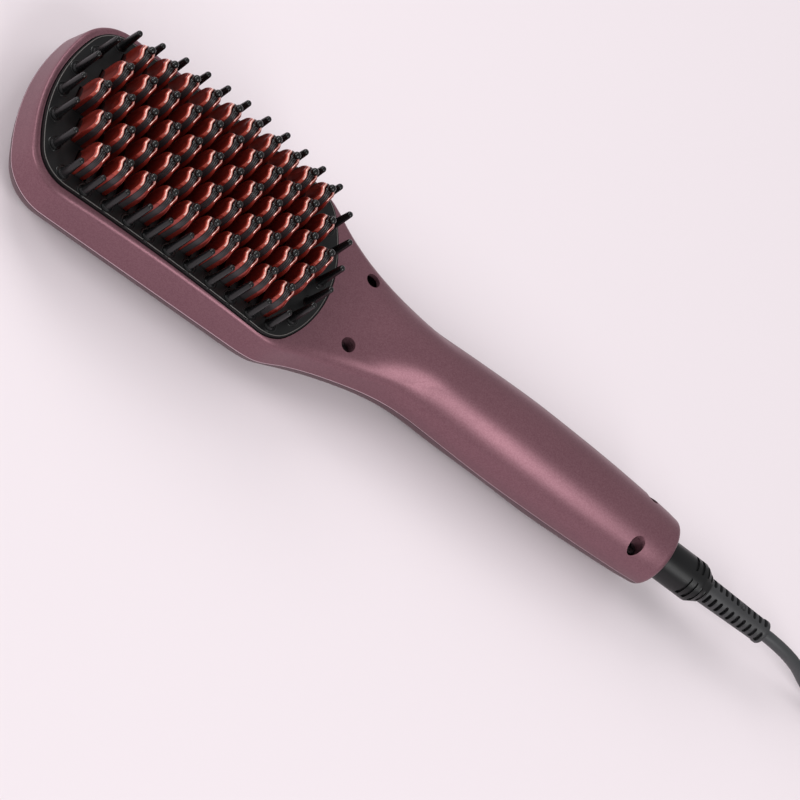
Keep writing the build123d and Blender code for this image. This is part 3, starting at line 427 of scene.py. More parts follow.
@dataclass(frozen=True)
class Finish:
    """One material: colours, gloss and the scale of its surface detail."""

    name: str
    first: Colour
    second: Colour
    roughness: float
    spread: float = 0.1
    metallic: float = 0.0
    grain: float = 1500.0
    grain_height: float = 0.02
    drift: float = 40.0
    coat: float = 0.0
    coat_roughness: float = 0.15
    sheen: float = 0.0
    specular: float = 0.5
    flake: float = 0.0
    flake_colour: Colour = (1.0, 1.0, 1.0)
    bump: float = 0.5

    def build(self, effects: Effects) -> bpy.types.Material:
        """Builds the node material.

        Args:
            effects: the shared effect groups.

        Returns:
            The material.
        """
        material = bpy.data.materials.new(self.name)
        material.use_nodes = True
        nodes, links = material.node_tree.nodes, material.node_tree.links
        shader = nodes["Principled BSDF"]
        shader.inputs["Metallic"].default_value = self.metallic
        shader.inputs["Coat Weight"].default_value = self.coat
        shader.inputs["Coat Roughness"].default_value = self.coat_roughness
        shader.inputs["Sheen Weight"].default_value = self.sheen
        shader.inputs["Specular IOR Level"].default_value = self.specular
        drift = self._place(nodes, effects, Effect.DRIFT)
        drift.inputs["Scale"].default_value = self.drift
        drift.inputs["First"].default_value = (*self.first, 1)
        drift.inputs["Second"].default_value = (*self.second, 1)
        colour = drift.outputs["Color"]
        grain = self._place(nodes, effects, Effect.GRAIN)
        grain.inputs["Scale"].default_value = self.grain
        grain.inputs["Roughness"].default_value = self.roughness
        grain.inputs["Spread"].default_value = self.spread
        if self.flake:
            flake = self._place(nodes, effects, Effect.FLAKE)
            flake.inputs["Amount"].default_value = self.flake
            flake.inputs["Flake"].default_value = (*self.flake_colour, 1)
            links.new(colour, flake.inputs["Color"])
            colour = flake.outputs["Color"]
        bump = nodes.new("ShaderNodeBump")
        bump.inputs["Strength"].default_value = self.bump
        bump.inputs["Distance"].default_value = self.grain_height * MM
        links.new(grain.outputs["Height"], bump.inputs["Height"])
        links.new(bump.outputs["Normal"], shader.inputs["Normal"])
        links.new(grain.outputs["Roughness"], shader.inputs["Roughness"])
        links.new(colour, shader.inputs["Base Color"])
        return material

    @staticmethod
    def _place(nodes: bpy.types.Nodes, effects: Effects, effect: Effect) -> bpy.types.Node:
        """Adds one shared effect to a material."""
        node = nodes.new("ShaderNodeGroup")
        node.node_tree = effects.groups[effect]
        return node


FINISHES = {
    "shell": Finish(
        "mauve_lacquer", linear(122, 82, 92), linear(115, 77, 87), roughness=0.4, spread=0.06,
        metallic=0.55, grain=1400.0, grain_height=0.004, coat=0.08, coat_roughness=0.4,
        specular=0.3, flake=0.1, flake_colour=linear(205, 160, 168),
    ),
    # Light mauve for the strip at the front shell's lower edge: a painted highlight along the
    # parting edge.
    "shell_highlight": Finish(
        "mauve_painted_highlight", linear(196, 170, 178), linear(184, 158, 166), roughness=0.4, metallic=0.3,
        grain_height=0.004,
    ),
    # Darker, less metallic copy of the mauve lacquer: painted shade on the back shell, which faces
    # down.
    "shell_shade": Finish(
        "mauve_painted_shade", linear(98, 68, 76), linear(92, 64, 71), roughness=0.45, spread=0.06,
        metallic=0.45, grain=1400.0, grain_height=0.004,
    ),
    "black_plastic": Finish(
        "black_moulding", linear(26, 26, 27), linear(18, 18, 19), roughness=0.36, spread=0.1,
        grain=2200.0, grain_height=0.008, specular=0.28,
    ),
    # Light grey for the guard's bead: a painted highlight along the frame's edge.
    "guard_highlight": Finish(
        "painted_guard_highlight", linear(112, 108, 106), linear(92, 88, 86), roughness=0.3,
        grain_height=0.004,
    ),
    "ball_gloss": Finish(
        "ball_gloss", linear(18, 18, 18), linear(12, 12, 12), roughness=0.14, spread=0.04,
        grain_height=0.001, specular=0.5,
    ),
    "black_nylon": Finish(
        "bristle_nylon", linear(22, 22, 23), linear(14, 14, 15), roughness=0.24, spread=0.08,
        grain=900.0, grain_height=0.004, drift=120.0, specular=0.4,
    ),
    "red_fin": Finish(
        "red_glaze", linear(168, 58, 46), linear(130, 34, 26), roughness=0.3, spread=0.1,
        metallic=0.5, grain=1100.0, grain_height=0.01, drift=70.0, coat=0.5, coat_roughness=0.12,
    ),
    # Near-white pink on the middle of the fin lips: a painted highlight.
    "fin_highlight": Finish(
        "fin_lip_painted_highlight", linear(250, 206, 196), linear(236, 176, 164), roughness=0.28, spread=0.12,
        metallic=0.2, grain=900.0, grain_height=0.01, drift=160.0,
    ),
    # Lighter red round that highlight: painted light on the lip.
    "fin_lit": Finish(
        "fin_lip_painted_light", linear(200, 96, 82), linear(176, 74, 62), roughness=0.28, metallic=0.35,
        grain=900.0, grain_height=0.01, drift=160.0,
    ),
    # Dark red at the fins' feet: painted shade.
    "fin_foot": Finish(
        "shaded_fin_foot", linear(58, 18, 16), linear(38, 10, 9), roughness=0.45, metallic=0.2,
        grain=900.0, grain_height=0.01, drift=160.0,
    ),
    "core_resin": Finish(
        "core_resin", linear(52, 46, 48), linear(38, 34, 36), roughness=0.3, grain=1600.0,
        grain_height=0.006,
    ),
    "aluminium": Finish(
        "plate_aluminium", linear(196, 196, 200), linear(176, 176, 180), roughness=0.38,
        metallic=1.0, grain=500.0,
    ),
    "ceramic": Finish(
        "heater_ceramic", linear(226, 222, 210), linear(212, 206, 194), roughness=0.55,
    ),
    "mica": Finish(
        "mica_laminate", linear(176, 162, 128), linear(156, 140, 104), roughness=0.45, drift=90.0,
    ),
    "spring_steel": Finish(
        "spring_steel", linear(150, 150, 154), linear(126, 126, 130), roughness=0.33, metallic=1.0,
        grain=700.0,
    ),
    "steel": Finish(
        "dark_zinc", linear(96, 94, 96), linear(70, 68, 70), roughness=0.36, metallic=1.0,
        grain=800.0,
    ),
    "dark_window": Finish(
        "smoked_window", linear(16, 16, 18), linear(12, 12, 14), roughness=0.08, spread=0.03,
        grain_height=0.001, coat=0.6, coat_roughness=0.05,
    ),
    "white_plastic": Finish(
        "white_moulding", linear(226, 226, 222), linear(214, 214, 208), roughness=0.45,
    ),
    "circuit_board": Finish(
        "green_board", linear(34, 104, 56), linear(24, 84, 44), roughness=0.35, coat=0.3,
    ),
    "capacitor_yellow": Finish(
        "yellow_box", linear(216, 170, 40), linear(204, 156, 30), roughness=0.35,
    ),
    "brass": Finish(
        "ring_brass", linear(206, 170, 92), linear(186, 148, 74), roughness=0.28, metallic=1.0,
    ),
    "soft_black": Finish(
        "relief_rubber", linear(58, 58, 60), linear(44, 44, 46), roughness=0.5, spread=0.14,
        grain=1300.0, grain_height=0.018, drift=110.0,
    ),
    "wire_white": Finish(
        "wire_sleeve", linear(222, 222, 218), linear(206, 206, 202), roughness=0.5,
    ),
    "cord_rubber": Finish(
        "cord_jacket", linear(66, 67, 69), linear(50, 51, 53), roughness=0.45, spread=0.12,
        grain=1500.0, grain_height=0.015, drift=60.0,
    ),
    "nickel": Finish(
        "pin_nickel", linear(206, 204, 198), linear(190, 188, 182), roughness=0.22, metallic=1.0,
        grain=600.0,
    ),
}


class Palette:
    """Holds the finished materials and dresses pieces with them."""

    def __init__(self) -> None:
        """Builds every finish once."""
        effects = Effects()
        self.made = {slot: finish.build(effects) for slot, finish in FINISHES.items()}

    def dress(self, thing: Thing, *slots: str) -> None:
        """Gives a piece its materials, the first for all faces that name no other."""
        thing.data.materials.clear()
        for slot in slots:
            thing.data.materials.append(self.made[slot])

    def dress_nodes(self) -> None:
        """Gives each carried-over node the material of its record slot."""
        slots = {part["node"]: part["material_slot"] for part in frame["record"]["subparts"]}
        for name, node in frame["nodes"].items():
            self.dress(node, slots[name])


@dataclass
class Workshop:
    """What every sub-assembly needs to finish its pieces."""

    palette: Palette

    def finish(
        self,
        piece: Thing,
        body: str,
        slot: str,
        nodes: Sequence[str] = (),
        extra: Sequence[str] = (),
        look: str = "",
    ) -> None:
        """Dresses a piece, lets it ride on its body and hides what it stands for.

        Args:
            piece: the new piece.
            body: body that it moves with.
            slot: record slot of its main material.
            nodes: solids that it stands for.
            extra: further finishes for its other material places.
            look: main finish, where it isn't the slot's own.
        """
        self.palette.dress(piece, look or slot, *extra)
        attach(piece, body)
        if nodes:
            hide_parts(*nodes)
        LOG.info("%s: %d faces on %s", piece.name, len(getattr(piece.data, "polygons", ())), body)


# ---- Camera, light and floor ---------------------------------------------------------
@dataclass(frozen=True)
class Lamp:
    """One soft lamp: its lengths are in metres and its power is in watts."""

    name: str
    towards: Point
    distance: float
    size: tuple[float, float]
    power: float
    mirrored: bool = True

    def build(self, aim: Point) -> None:
        """Hangs the lamp so that it looks at a point."""
        data = bpy.data.lights.new(self.name, "AREA")
        data.shape = "RECTANGLE"
        data.size, data.size_y = self.size
        data.energy = self.power
        lamp = bpy.data.objects.new(self.name, data)
        way = Vector(self.towards).normalized()
        lamp.location = Vector(aim) + self.distance * way
        lamp.rotation_euler = way.to_track_quat("Z", "Y").to_euler()
        lamp.visible_glossy = self.mirrored
        bpy.context.scene.collection.objects.link(lamp)


@dataclass
class Studio:
    """Camera, soft lamps, floor and surroundings."""

    turn: Point = (2.45227582, 0.639573674, 0.727714975)
    place: Point = (-0.38302, -0.77775, 0.98927)
    lens: float = 180.22
    sensor: float = 36.0
    view_reach: float = 20.0
    aim: Point = (0.085, 0.0, 0.01)
    lamps: tuple[Lamp, ...] = (
        Lamp("key_lamp", (0.25, 0.55, 0.95), 1.5, (1.2, 1.2), 4.8, mirrored=False),
        Lamp("side_lamp", (-0.88, -0.12, 0.46), 1.3, (0.5, 0.5), 4.5),
        Lamp("front_lamp", (0.36, -0.66, 0.62), 1.4, (0.4, 0.9), 8.5),
        Lamp("rim_lamp", (-0.6, 0.55, 0.55), 1.3, (0.6, 0.6), 4.5),
    )
    sky_colour: Colour = (0.93, 0.92, 0.93)
    sky_strength: float = 0.42
    floor_colour: Colour = field(default_factory=lambda: linear(240, 230, 235))
    floor_reach: float = 6000.0
    floor_shade: float = 0.99

    def camera(self) -> None:
        """Makes the camera at its fitted place."""
        spin = Vector(self.turn)
        rows = Matrix.Rotation(spin.length, 3, spin.normalized())
        axes = Matrix((rows[0], -rows[1], -rows[2])).transposed().to_4x4()
        data = bpy.data.cameras.new("camera")
        data.sensor_width = self.sensor
        data.lens = self.lens
        data.clip_end = self.view_reach
        camera = bpy.data.objects.new("camera", data)
        camera.matrix_world = Matrix.Translation(self.place) @ axes
        bpy.context.scene.collection.objects.link(camera)
        bpy.context.scene.camera = camera

    def world(self) -> None:
        """Soft even surroundings."""
        world = bpy.data.worlds.new("surroundings")
        bpy.context.scene.world = world
        world.use_nodes = True
        back = world.node_tree.nodes["Background"]
        back.inputs["Color"].default_value = (*self.sky_colour, 1)
        back.inputs["Strength"].default_value = self.sky_strength

    def floor(self) -> None:
        """Plain pale floor."""
        reach = self.floor_reach
        corners = [(-reach, -reach, 0), (reach, -reach, 0), (reach, reach, 0), (-reach, reach, 0)]
        floor = Shapes.from_points("floor", corners, [(0, 1, 2, 3)])
        material = bpy.data.materials.new("floor_paint")
        material.use_nodes = True
        nodes, links = material.node_tree.nodes, material.node_tree.links
        shader = nodes["Principled BSDF"]
        shader.inputs["Roughness"].default_value = 0.9
        shader.inputs["Specular IOR Level"].default_value = 0.1
        noise = nodes.new("ShaderNodeTexNoise")
        noise.inputs["Scale"].default_value = 3.0
        mix = nodes.new("ShaderNodeMix")
        mix.data_type = "RGBA"
        mix.inputs["A"].default_value = (*self.floor_colour, 1)
        mix.inputs["B"].default_value = (*(self.floor_shade * c for c in self.floor_colour), 1)
        links.new(noise.outputs["Fac"], mix.inputs["Factor"])
        links.new(mix.outputs["Result"], shader.inputs["Base Color"])
        floor.data.materials.append(material)

    def build(self) -> None:
        """Sets up the whole studio."""
        self.camera()
        self.world()
        self.floor()
        for lamp in self.lamps:
            lamp.build(self.aim)
        bpy.context.scene.view_settings.view_transform = "Standard"


# ---- Cord and plug -------------------------------------------------------------------
@dataclass
class Cord:
    """The lead: out of the sleeve, down to the rest plane and into its put-away coil."""

    radius: float = 2.4
    rest: float = 2.45
    start: Point = (263.0, 0.0, 16.1)
    route: tuple[Point, ...] = (
        (279.0, 0.0, 16.1),
        (297.0, 0.0, 5.6),
        (312.0, -0.6, 2.45),
        (325.0, 0.0, 2.45),
    )
    coil_centre: Plan = (345.0, 28.0)
    coil_mean_radius: float = 26.4
    columns: int = 4
    layers: int = 3
    points_per_turn: int = 14
    lap_end: float = 0.6
    length: float = 2.0

    def coil_points(self) -> list[Point]:
        """Control points of the wound turns, layer by layer."""
        pitch = 2 * self.radius
        middle_x, middle_y = self.coil_centre
        start_turn = atan2(-middle_y, self.route[-1][0] - middle_x)
        points = []
        step = 0
        for layer in range(self.layers):
            inwards = layer % 2 == 0
            for lap in range(self.columns):
                column = (self.columns - 1 - lap) if inwards else lap
                radius = self.coil_mean_radius + (column - (self.columns - 1) / 2) * pitch
                for place in range(self.points_per_turn):
                    share = place / self.points_per_turn
                    lift = self.rest + layer * pitch
                    ease = max(0.0, (share - self.lap_end) / (1 - self.lap_end))
                    wide = radius
                    if lap < self.columns - 1:
                        wide += ease * (-pitch if inwards else pitch)
                    elif layer < self.layers - 1:
                        lift += ease * pitch
                    wide /= cos(pi / self.points_per_turn)
                    angle = start_turn + 2 * pi * step / self.points_per_turn
                    x, y = middle_x + wide * cos(angle), middle_y + wide * sin(angle)
                    points.append((x, y, lift))
                    step += 1
        return points

    def build(self, shop: Workshop) -> None:
        """Makes the cord as one smooth curve."""
        points = [self.start, *self.route, *self.coil_points()]
        data = bpy.data.curves.new("power_cord", "CURVE")
        data.dimensions = "3D"
        line = data.splines.new("NURBS")
        line.points.add(len(points) - 1)
        for spot, point in zip(line.points, points):
            spot.co = (*(MM * c for c in point), 1)
        line.order_u = 3
        line.use_endpoint_u = True
        line.resolution_u = 6
        data.bevel_depth = MM * self.radius
        data.bevel_resolution = 5
        data.use_fill_caps = True
        cord = bpy.data.objects.new("power_cord", data)
        bpy.context.scene.collection.objects.link(cord)
        shop.finish(cord, "casing", "cord_rubber", ["cord_tube", "cord_coil"])


# ---- Casing --------------------------------------------------------------------------
class Half(Enum):
    """The two halves of the casing."""

    FRONT = "front"
    BACK = "back"


@dataclass(frozen=True)
class Recess:
    """A pair of sunk screw recesses, one on each side, with a well under each."""

    x: float
    y: float
    radius: float
    floor: float
    height: float
    bore: float = 1.8
    wall: float = 0.8
    base: float = 1.5
    step: float = 0.9

    def spots(self) -> tuple[Plan, Plan]:
        """Plan places of the two recesses."""
        return (self.x, self.y), (self.x, -self.y)

    def well(self) -> tuple[list, list]:
        """Wall and floor of one recess, about its own axis."""
        outer = self.radius + self.wall
        shoulder = self.floor + self.height - self.step
        under = self.floor - self.base
        profile = [
            (self.bore, under),
            (outer, under),
            (outer, shoulder),
            (self.radius, shoulder),
            (self.radius, self.floor),
            (self.bore, self.floor),
        ]
        return Shapes.lathe(profile, 40, closed=True)


@dataclass
class Casing:
    """Front and back shell as smooth skins with wall, openings and recesses."""

    parting: float = 12.3
    gap: float = 0.25
    rim_height: float = 25.7
    crown_radius: float = CROWN_RADIUS
    axis: float = AXIS
    wall: float = 1.7
    draft: float = 8.0
    rim_radius: float = 1.9
    tip_x: float = -61.3
    tip_arc: float = 72.0
    corner_radius: float = 18.0
    width_tip: float = 37.1
    width_far: float = 33.7
    far_x: float = 75.0
    side_places: tuple = (-37.6, -20.0, 0.0, 20.0, 34.0, 40.0)
    top_drop: float = 0.02
    row_step: float = 1.4
    least_step: float = 0.8
    fan_count: int = 14
    front_shoulder: int = 15
    back_shoulder: int = 17
    round_turns: tuple[float, float] = (22.0, 58.0)
    back_turn: float = -70.0
    narrow_from: float = 58.0
    flat_until: float = 125.0
    end_x: float = 213.5
    end_rounding: float = 2.4
    end_bore: float = 7.9
    neck: tuple = (
        (46.0, 34.0, 24.0, 24.2, 2.3, 0.0),
        (52.0, 31.8, 23.6, 23.9, 2.9, 0.0),
        (58.0, 28.4, 23.2, 23.8, 3.8, 0.3),
        (65.0, 25.1, 23.0, 24.2, 5.2, 1.0),
        (72.0, 22.7, 23.0, 25.1, 6.5, 1.8),
        (80.0, 20.0, 22.6, 27.3, 8.0, 2.5),
        (88.0, 17.7, 22.4, 29.8, 9.0, 2.8),
        (96.0, 15.9, 22.2, 31.3, 9.5, 2.8),
    )
    handle: tuple = (
        (106.0, 15.45),
        (120.0, 16.0),
        (143.0, 16.6),
        (165.0, 16.2),
        (180.0, 15.65),
        (193.0, 14.9),
        (206.0, 14.0),
        (211.1, 13.4),
    )
    ease_reach: float = 5.5
    ease_span: tuple[float, float] = (50.0, 146.0)
    ease_fade: float = 14.0
    # Height of the strip at the flank's foot that takes the painted highlight, the share of it
    # whose faces are coloured, and the tilt limit of those faces.
    highlight_height: float = 0.35
    highlight_share: float = 0.7
    highlight_tilt: float = 0.6
    back_lift: dict = field(default_factory=lambda: {106.0: 2.8, 120.0: 2.8, 143.0: 1.2})
    wide_profile: tuple = ((0.0, 0.0), (1.7, 3.7), (5.2, 7.7), (10.0, 10.7), (16.0, 12.3))
    narrow_profile: tuple = ((0.0, 0.0), (1.2, 3.9), (3.6, 7.7), (6.6, 10.8), (9.0, 12.3))
    opening_tip: float = -57.4
    opening_neck: float = 58.7
    opening_half_width: float = 31.9
    opening_tip_arc: float = 60.0
    opening_neck_arc: float = 45.0
    opening_corner: float = 13.5
    opening_gap: float = 0.3
    opening_steps: int = 16
    recesses: tuple[Recess, ...] = (
        Recess(71.8, 14.0, 2.6, 18.6, 4.9),
        Recess(199.0, 10.3, 2.7, 20.6, 6.4),
    )
    cutter_depth: float = 4.0
    lid_gap: float = 0.4

    def crown_at(self, x: float) -> float:
        """Height of the head's lengthwise crown."""
        return self.rim_height - self.crown_radius + sqrt(self.crown_radius**2 - x**2)

    def side_line(self) -> tuple[np.ndarray, np.ndarray]:
        """Start of the head's straight side, and its direction."""
        corner_x = self.tip_x + self.tip_arc - sqrt(self.tip_arc**2 - self.width_tip**2)
        start = np.array([corner_x, self.width_tip])
        way = np.array([self.far_x, self.width_far]) - start
        return start, way / np.linalg.norm(way)

    def half_width(self, x: float) -> float:
        """Half width of the head's straight side at the parting plane."""
        start, way = self.side_line()
        return float(start[1] + (x - start[0]) * way[1] / way[0])

    def tip_rows(self, count: int) -> list[tuple[np.ndarray, np.ndarray]]:
        """Outline points round the head's tip with their inward normals.

        Args:
            count: points per rounded corner; the tip arc gets as many.

        Returns:
            Points and normals from the straight side to the middle of the tip.
        """
        start, way = self.side_line()
        inwards = np.array([way[1], -way[0]])
        middle = np.array([self.tip_x + self.tip_arc, 0.0])
        # The corner's centre lies on the side line's offset and touches the tip arc from inside.
        base = start + self.corner_radius * inwards - middle
        b = float(np.dot(base, way))
        c = float(np.dot(base, base)) - (self.tip_arc - self.corner_radius) ** 2
        centre = middle + base + (-b - sqrt(b * b - c)) * way
        first = atan2(-inwards[1], -inwards[0])
        last = atan2(*(centre - middle)[::-1])
        rows = []
        for angle in np.linspace(first, last, count):
            out = np.array([cos(angle), sin(angle)])
            rows.append((centre + self.corner_radius * out, -out))
        for angle in np.linspace(last, pi, count)[1:]:
            out = np.array([cos(angle), sin(angle)])
            rows.append((middle + self.tip_arc * out, -out))
        return rows

    def front_section(
        self, width: float, shoulder: float, crown: float, radius: float
    ) -> np.ndarray:
        """Half section of the front shell as (inset from the side, height) points."""
        slope = tan(radians(self.draft))
        side = width - (shoulder - self.parting) * slope
        rise = max(crown - shoulder, 1e-3)
        arc = (side**2 + rise**2) / (2 * rise)  # radius of the crowned top
        corner = np.array([side, shoulder])
        down = np.array([slope, -1.0]) / hypot(slope, 1.0)
        lean = asin(side / arc)
        up = np.array([-cos(lean), sin(lean)])
        turn = acos(max(-1.0, min(1.0, float(np.dot(-down, up)))))
        reach = radius * tan(turn / 2)
        low = corner + reach * down
        sweep = lean - reach / arc
        high = np.array([arc * sin(sweep), crown - arc + arc * cos(sweep)])
        foot = np.array([width - self.gap * slope, self.parting + self.gap])
        first = self.highlight_height / (low[1] - foot[1])
        flank = foot + (low - foot) * np.append(0, np.linspace(first, 1, 5))[:, None]
        curve = conic(low, corner, high, 10)
        tops = np.linspace(sweep, 0, 12)[1:]
        crest = np.stack([arc * np.sin(tops), crown - arc + arc * np.cos(tops)], axis=1)
        return np.concatenate([flank, curve[1:], crest])

    def front_round(self, radius: float) -> np.ndarray:
        """Half section of the front shell where the handle is round."""
        start = degrees(asin((self.parting + self.gap - self.axis) / radius))
        first = start + degrees(self.highlight_height / radius)
        low, high = self.round_turns
        flank = np.append(start, np.linspace(first, low, 5))
        curve = np.linspace(low, high, 10)[1:]
        turns = np.radians(np.concatenate([flank, curve, np.linspace(high, 90, 12)[1:]]))
        return np.stack([radius * np.cos(turns), self.axis + radius * np.sin(turns)], axis=1)

    def back_section(self, x: float, width: float, lift: float) -> np.ndarray:
        """Half section of the back shell where its bottom is flat."""
        profile = np.array(self.wide_profile if x < self.narrow_from else self.narrow_profile)
        scale = (self.parting - lift) / self.parting
        knots = np.arange(len(profile))
        steps = np.linspace(0, len(profile) - 1, self.back_shoulder)
        drop = monotone(knots, profile[:, 1], steps)[:, 0]
        run = monotone(profile[:, 1], profile[:, 0], drop)[:, 0]
        bend = np.stack([width - run * scale, self.parting - drop * scale], axis=1)
        bend[-1, 1] = lift
        flat = np.linspace(bend[-1, 0], 0, 8)[1:]
        return np.concatenate([bend, np.stack([flat, np.full(len(flat), lift)], axis=1)])

    def back_round(self, radius: float, lift: float) -> np.ndarray:
        """Half section of the back shell where the handle is round."""
        depth = (self.axis - lift) / radius
        start = degrees(asin((self.parting - self.axis) / radius / depth))
        flank = np.linspace(start, self.back_turn, self.back_shoulder)
        turns = np.radians(np.concatenate([flank, np.linspace(self.back_turn, -90, 8)[1:]]))
        heights = self.axis + depth * radius * np.sin(turns)
        return np.stack([radius * np.cos(turns), heights], axis=1)

    def sections(self, half: Half) -> tuple[list[float], list[np.ndarray]]:
        """Known sections along the head's side, the neck and the handle.

        Args:
            half: which shell.

        Returns:
            Their x places and their points.
        """
        places, known = [], []
        for x in self.side_places:
            places.append(x)
            width = self.half_width(x)
            if half is Half.FRONT:
                top = self.crown_at(x)
                known.append(self.front_section(width, top - self.top_drop, top, self.rim_radius))
            else:
                known.append(self.back_section(x, width, 0.0))
        for x, width, shoulder, crown, radius, lift in self.neck:
            places.append(x)
            if half is Half.FRONT:
                known.append(self.front_section(width, shoulder, crown, radius))
            else:
                known.append(self.back_section(x, width, lift))
        for x, radius in self.handle:
            places.append(x)
            if half is Half.FRONT:
                known.append(self.front_round(radius))
            elif x < self.flat_until:
                wide = sqrt(radius**2 - (self.axis - self.parting) ** 2)
                known.append(self.back_section(x, wide, self.back_lift[x]))
            else:
                known.append(self.back_round(radius, self.back_lift.get(x, self.axis - radius)))
        return places, known

    def rows(self, half: Half) -> list[np.ndarray]:
        """All rows of surface points on the +Y side, from the handle's end to the tip."""
        places, known = self.sections(half)
        flat = np.array([k.ravel() for k in known])
        turn_x = self.end_x - self.end_rounding
        fan_x = self.side_places[0]
        spots = np.append(np.arange(fan_x, turn_x - self.least_step, self.row_step), turn_x)
        shaped = self.eased(spots, monotone(places, flat, spots)).reshape(len(spots), -1, 2)
        rows = []
        for x, section in zip(spots, shaped):
            rows.append(np.column_stack([np.full(len(section), x), section]))
        last_radius = self.handle[-1][1] - self.end_rounding
        for angle in np.linspace(0, pi / 2, 9)[1:]:
            radius = last_radius + self.end_rounding * cos(angle)
            x = turn_x + self.end_rounding * sin(angle)
            section = self.round_half(half, radius)
            rows.append(np.column_stack([np.full(len(section), x), section]))
        for radius in (0.5 * (last_radius + self.end_bore), self.end_bore):
            section = self.round_half(half, radius)
            rows.append(np.column_stack([np.full(len(section), self.end_x), section]))
        rows.reverse()
        return rows + self.fan(half, known[0])

    def fan(self, half: Half, first: np.ndarray) -> list[np.ndarray]:
        """Rows that turn round the head's tip.

        Args:
            half: which shell.
            first: section where the straight side ends.

        Returns:
            The rows from the straight side to the middle of the tip.
        """
        front = half is Half.FRONT
        fan_x = self.side_places[0]
        insets = first[0, 0] + (self.gap * tan(radians(self.draft)) if front else 0) - first[:, 0]
        shoulder = self.front_shoulder if front else self.back_shoulder
        spine = np.array([fan_x, 0.0])
        rows = []
        for point, inward in self.tip_rows(self.fan_count)[1:]:
            # Down to the rim the section keeps its shape; inside it the rows close on the spine.
            plan = point + insets[:, None] * inward
            inner = plan[shoulder - 1]
            rest = len(first) - shoulder
            share = np.linspace(0, 1, rest + 1)[1:, None]
            plan[shoulder:] = inner + (spine - inner) * share
            height = first[:, 1].copy()
            if front:
                fall = self.crown_at(point[0]) - self.crown_at(fan_x)
                blend = np.clip(np.arange(len(first)) / (shoulder - 1), 0, 1)
                height += fall * blend
                height[shoulder:] = [self.crown_at(x) for x in plan[shoulder:, 0]]
            rows.append(np.column_stack([plan, height]))
        return rows

    def eased(self, spots: np.ndarray, rows: np.ndarray) -> np.ndarray:
        """Eases the run from the neck into the handle so that no section shows.

        Args:
            spots: x place of each row.
            rows: one row of values per place.

        Returns:
            The rows, softened between the head and the grip.
        """
        apart = (spots[:, None] - spots[None, :]) / self.ease_reach
        share = np.exp(-0.5 * apart**2)
        soft = share @ rows / share.sum(axis=1, keepdims=True)
        start, end = self.ease_span
        rising = np.clip((spots - start) / self.ease_fade, 0, 1)
        weight = rising * np.clip((end - spots) / self.ease_fade, 0, 1)
        return rows + weight[:, None] * (soft - rows)

    def round_half(self, half: Half, radius: float) -> np.ndarray:
        """Round section of either shell about the handle's axis."""
        if half is Half.FRONT:
            return self.front_round(radius)
        return self.back_round(radius, self.axis - radius)

    def skin(self, half: Half, name: str) -> Thing:
        """Closed wall of one shell, before its openings are cut."""
        rows = self.rows(half)
        other = [row * np.array([1, -1, 1]) for row in reversed(rows[:-1])]
        grid = rows + other
        wide = len(grid[0])
        points = np.concatenate(grid)
        faces = []
        for i in range(len(grid) - 1):
            for k in range(wide - 1):
                a = i * wide + k
                faces.append((a, a + 1, a + wide + 1, a + wide))
        shell = Shapes.from_points(name, points, faces)
        self.weld_faces(shell, outwards=1 if half is Half.FRONT else -1)
        solid = shell.modifiers.new("wall", "SOLIDIFY")
        solid.thickness = MM * self.wall
        solid.offset = -1.0
        solid.use_even_offset = True
        Shapes.apply(shell)
        return shell

    @staticmethod
    def weld_faces(shell: Thing, outwards: int) -> None:
        """Drops collapsed faces and turns the open skin's normals outwards."""
        work = bmesh.new()
        work.from_mesh(shell.data)
        bmesh.ops.dissolve_degenerate(work, dist=1e-6, edges=work.edges)
        bmesh.ops.recalc_face_normals(work, faces=work.faces)
        total = sum(face.normal.z * face.calc_area() for face in work.faces)
        if total * outwards < 0:
            bmesh.ops.reverse_faces(work, faces=work.faces)
        work.to_mesh(shell.data)
        work.free()

    def opening(self, grow: float) -> list[Plan]:
        """Plan outline of the head's opening, grown by an offset.

        Args:
            grow: offset in millimetres.

        Returns:
            The outline's points, counter-clockwise.
        """
        half_width = self.opening_half_width + grow
        corner = self.opening_corner + grow
        quarter = []
        for x, arc, sign in (
            (self.opening_neck + grow, self.opening_neck_arc + grow, 1),
            (self.opening_tip - grow, self.opening_tip_arc + grow, -1),
        ):
            middle_x = x - sign * arc
            inner = arc - corner
            centre_y = half_width - corner
            centre_x = middle_x + sign * sqrt(inner**2 - centre_y**2)
            join = atan2(centre_y, centre_x - middle_x)
            tip_turns = np.linspace(0 if sign > 0 else pi, join, self.opening_steps)[:-1]
            corner_turns = np.linspace(join, pi / 2, self.opening_steps)
            part = [(middle_x + arc * cos(a), arc * sin(a)) for a in tip_turns]
            part += [(centre_x + corner * cos(a), centre_y + corner * sin(a)) for a in corner_turns]
            quarter.append(part)
        upper = quarter[0] + quarter[1][::-1]
        lower = [(x, -y) for x, y in reversed(upper[1:-1])]
        return upper + lower

    def build_front(self, shop: Workshop) -> None:
        """Front shell with its opening and screw recesses."""
        shell = self.skin(Half.FRONT, "front_casing")
        cutters = [Shapes.prism("opening_cutter", self.opening(self.opening_gap), 10, 40)]
        for recess in self.recesses:
            low = recess.floor - self.cutter_depth
            for spot in recess.spots():
                outline = Shapes.disc(spot, recess.radius)
                cutters.append(Shapes.prism("recess_cutter", outline, low, 45))
        Shapes.carve(shell, cutters)
        Shapes.smooth(shell, 38)
        shop.finish(shell, "casing", "shell", ["front_shell"], ["shell_highlight"])
        # Faces at the flank's foot take the light mauve: a painted highlight along the parting
        # edge.
        highlight_top = MM * (self.parting + self.gap + self.highlight_share * self.highlight_height)
        for polygon in shell.data.polygons:
            if polygon.center.z < highlight_top and abs(polygon.normal.z) < self.highlight_tilt:
                polygon.material_index = 1
        self.build_wells(shop)

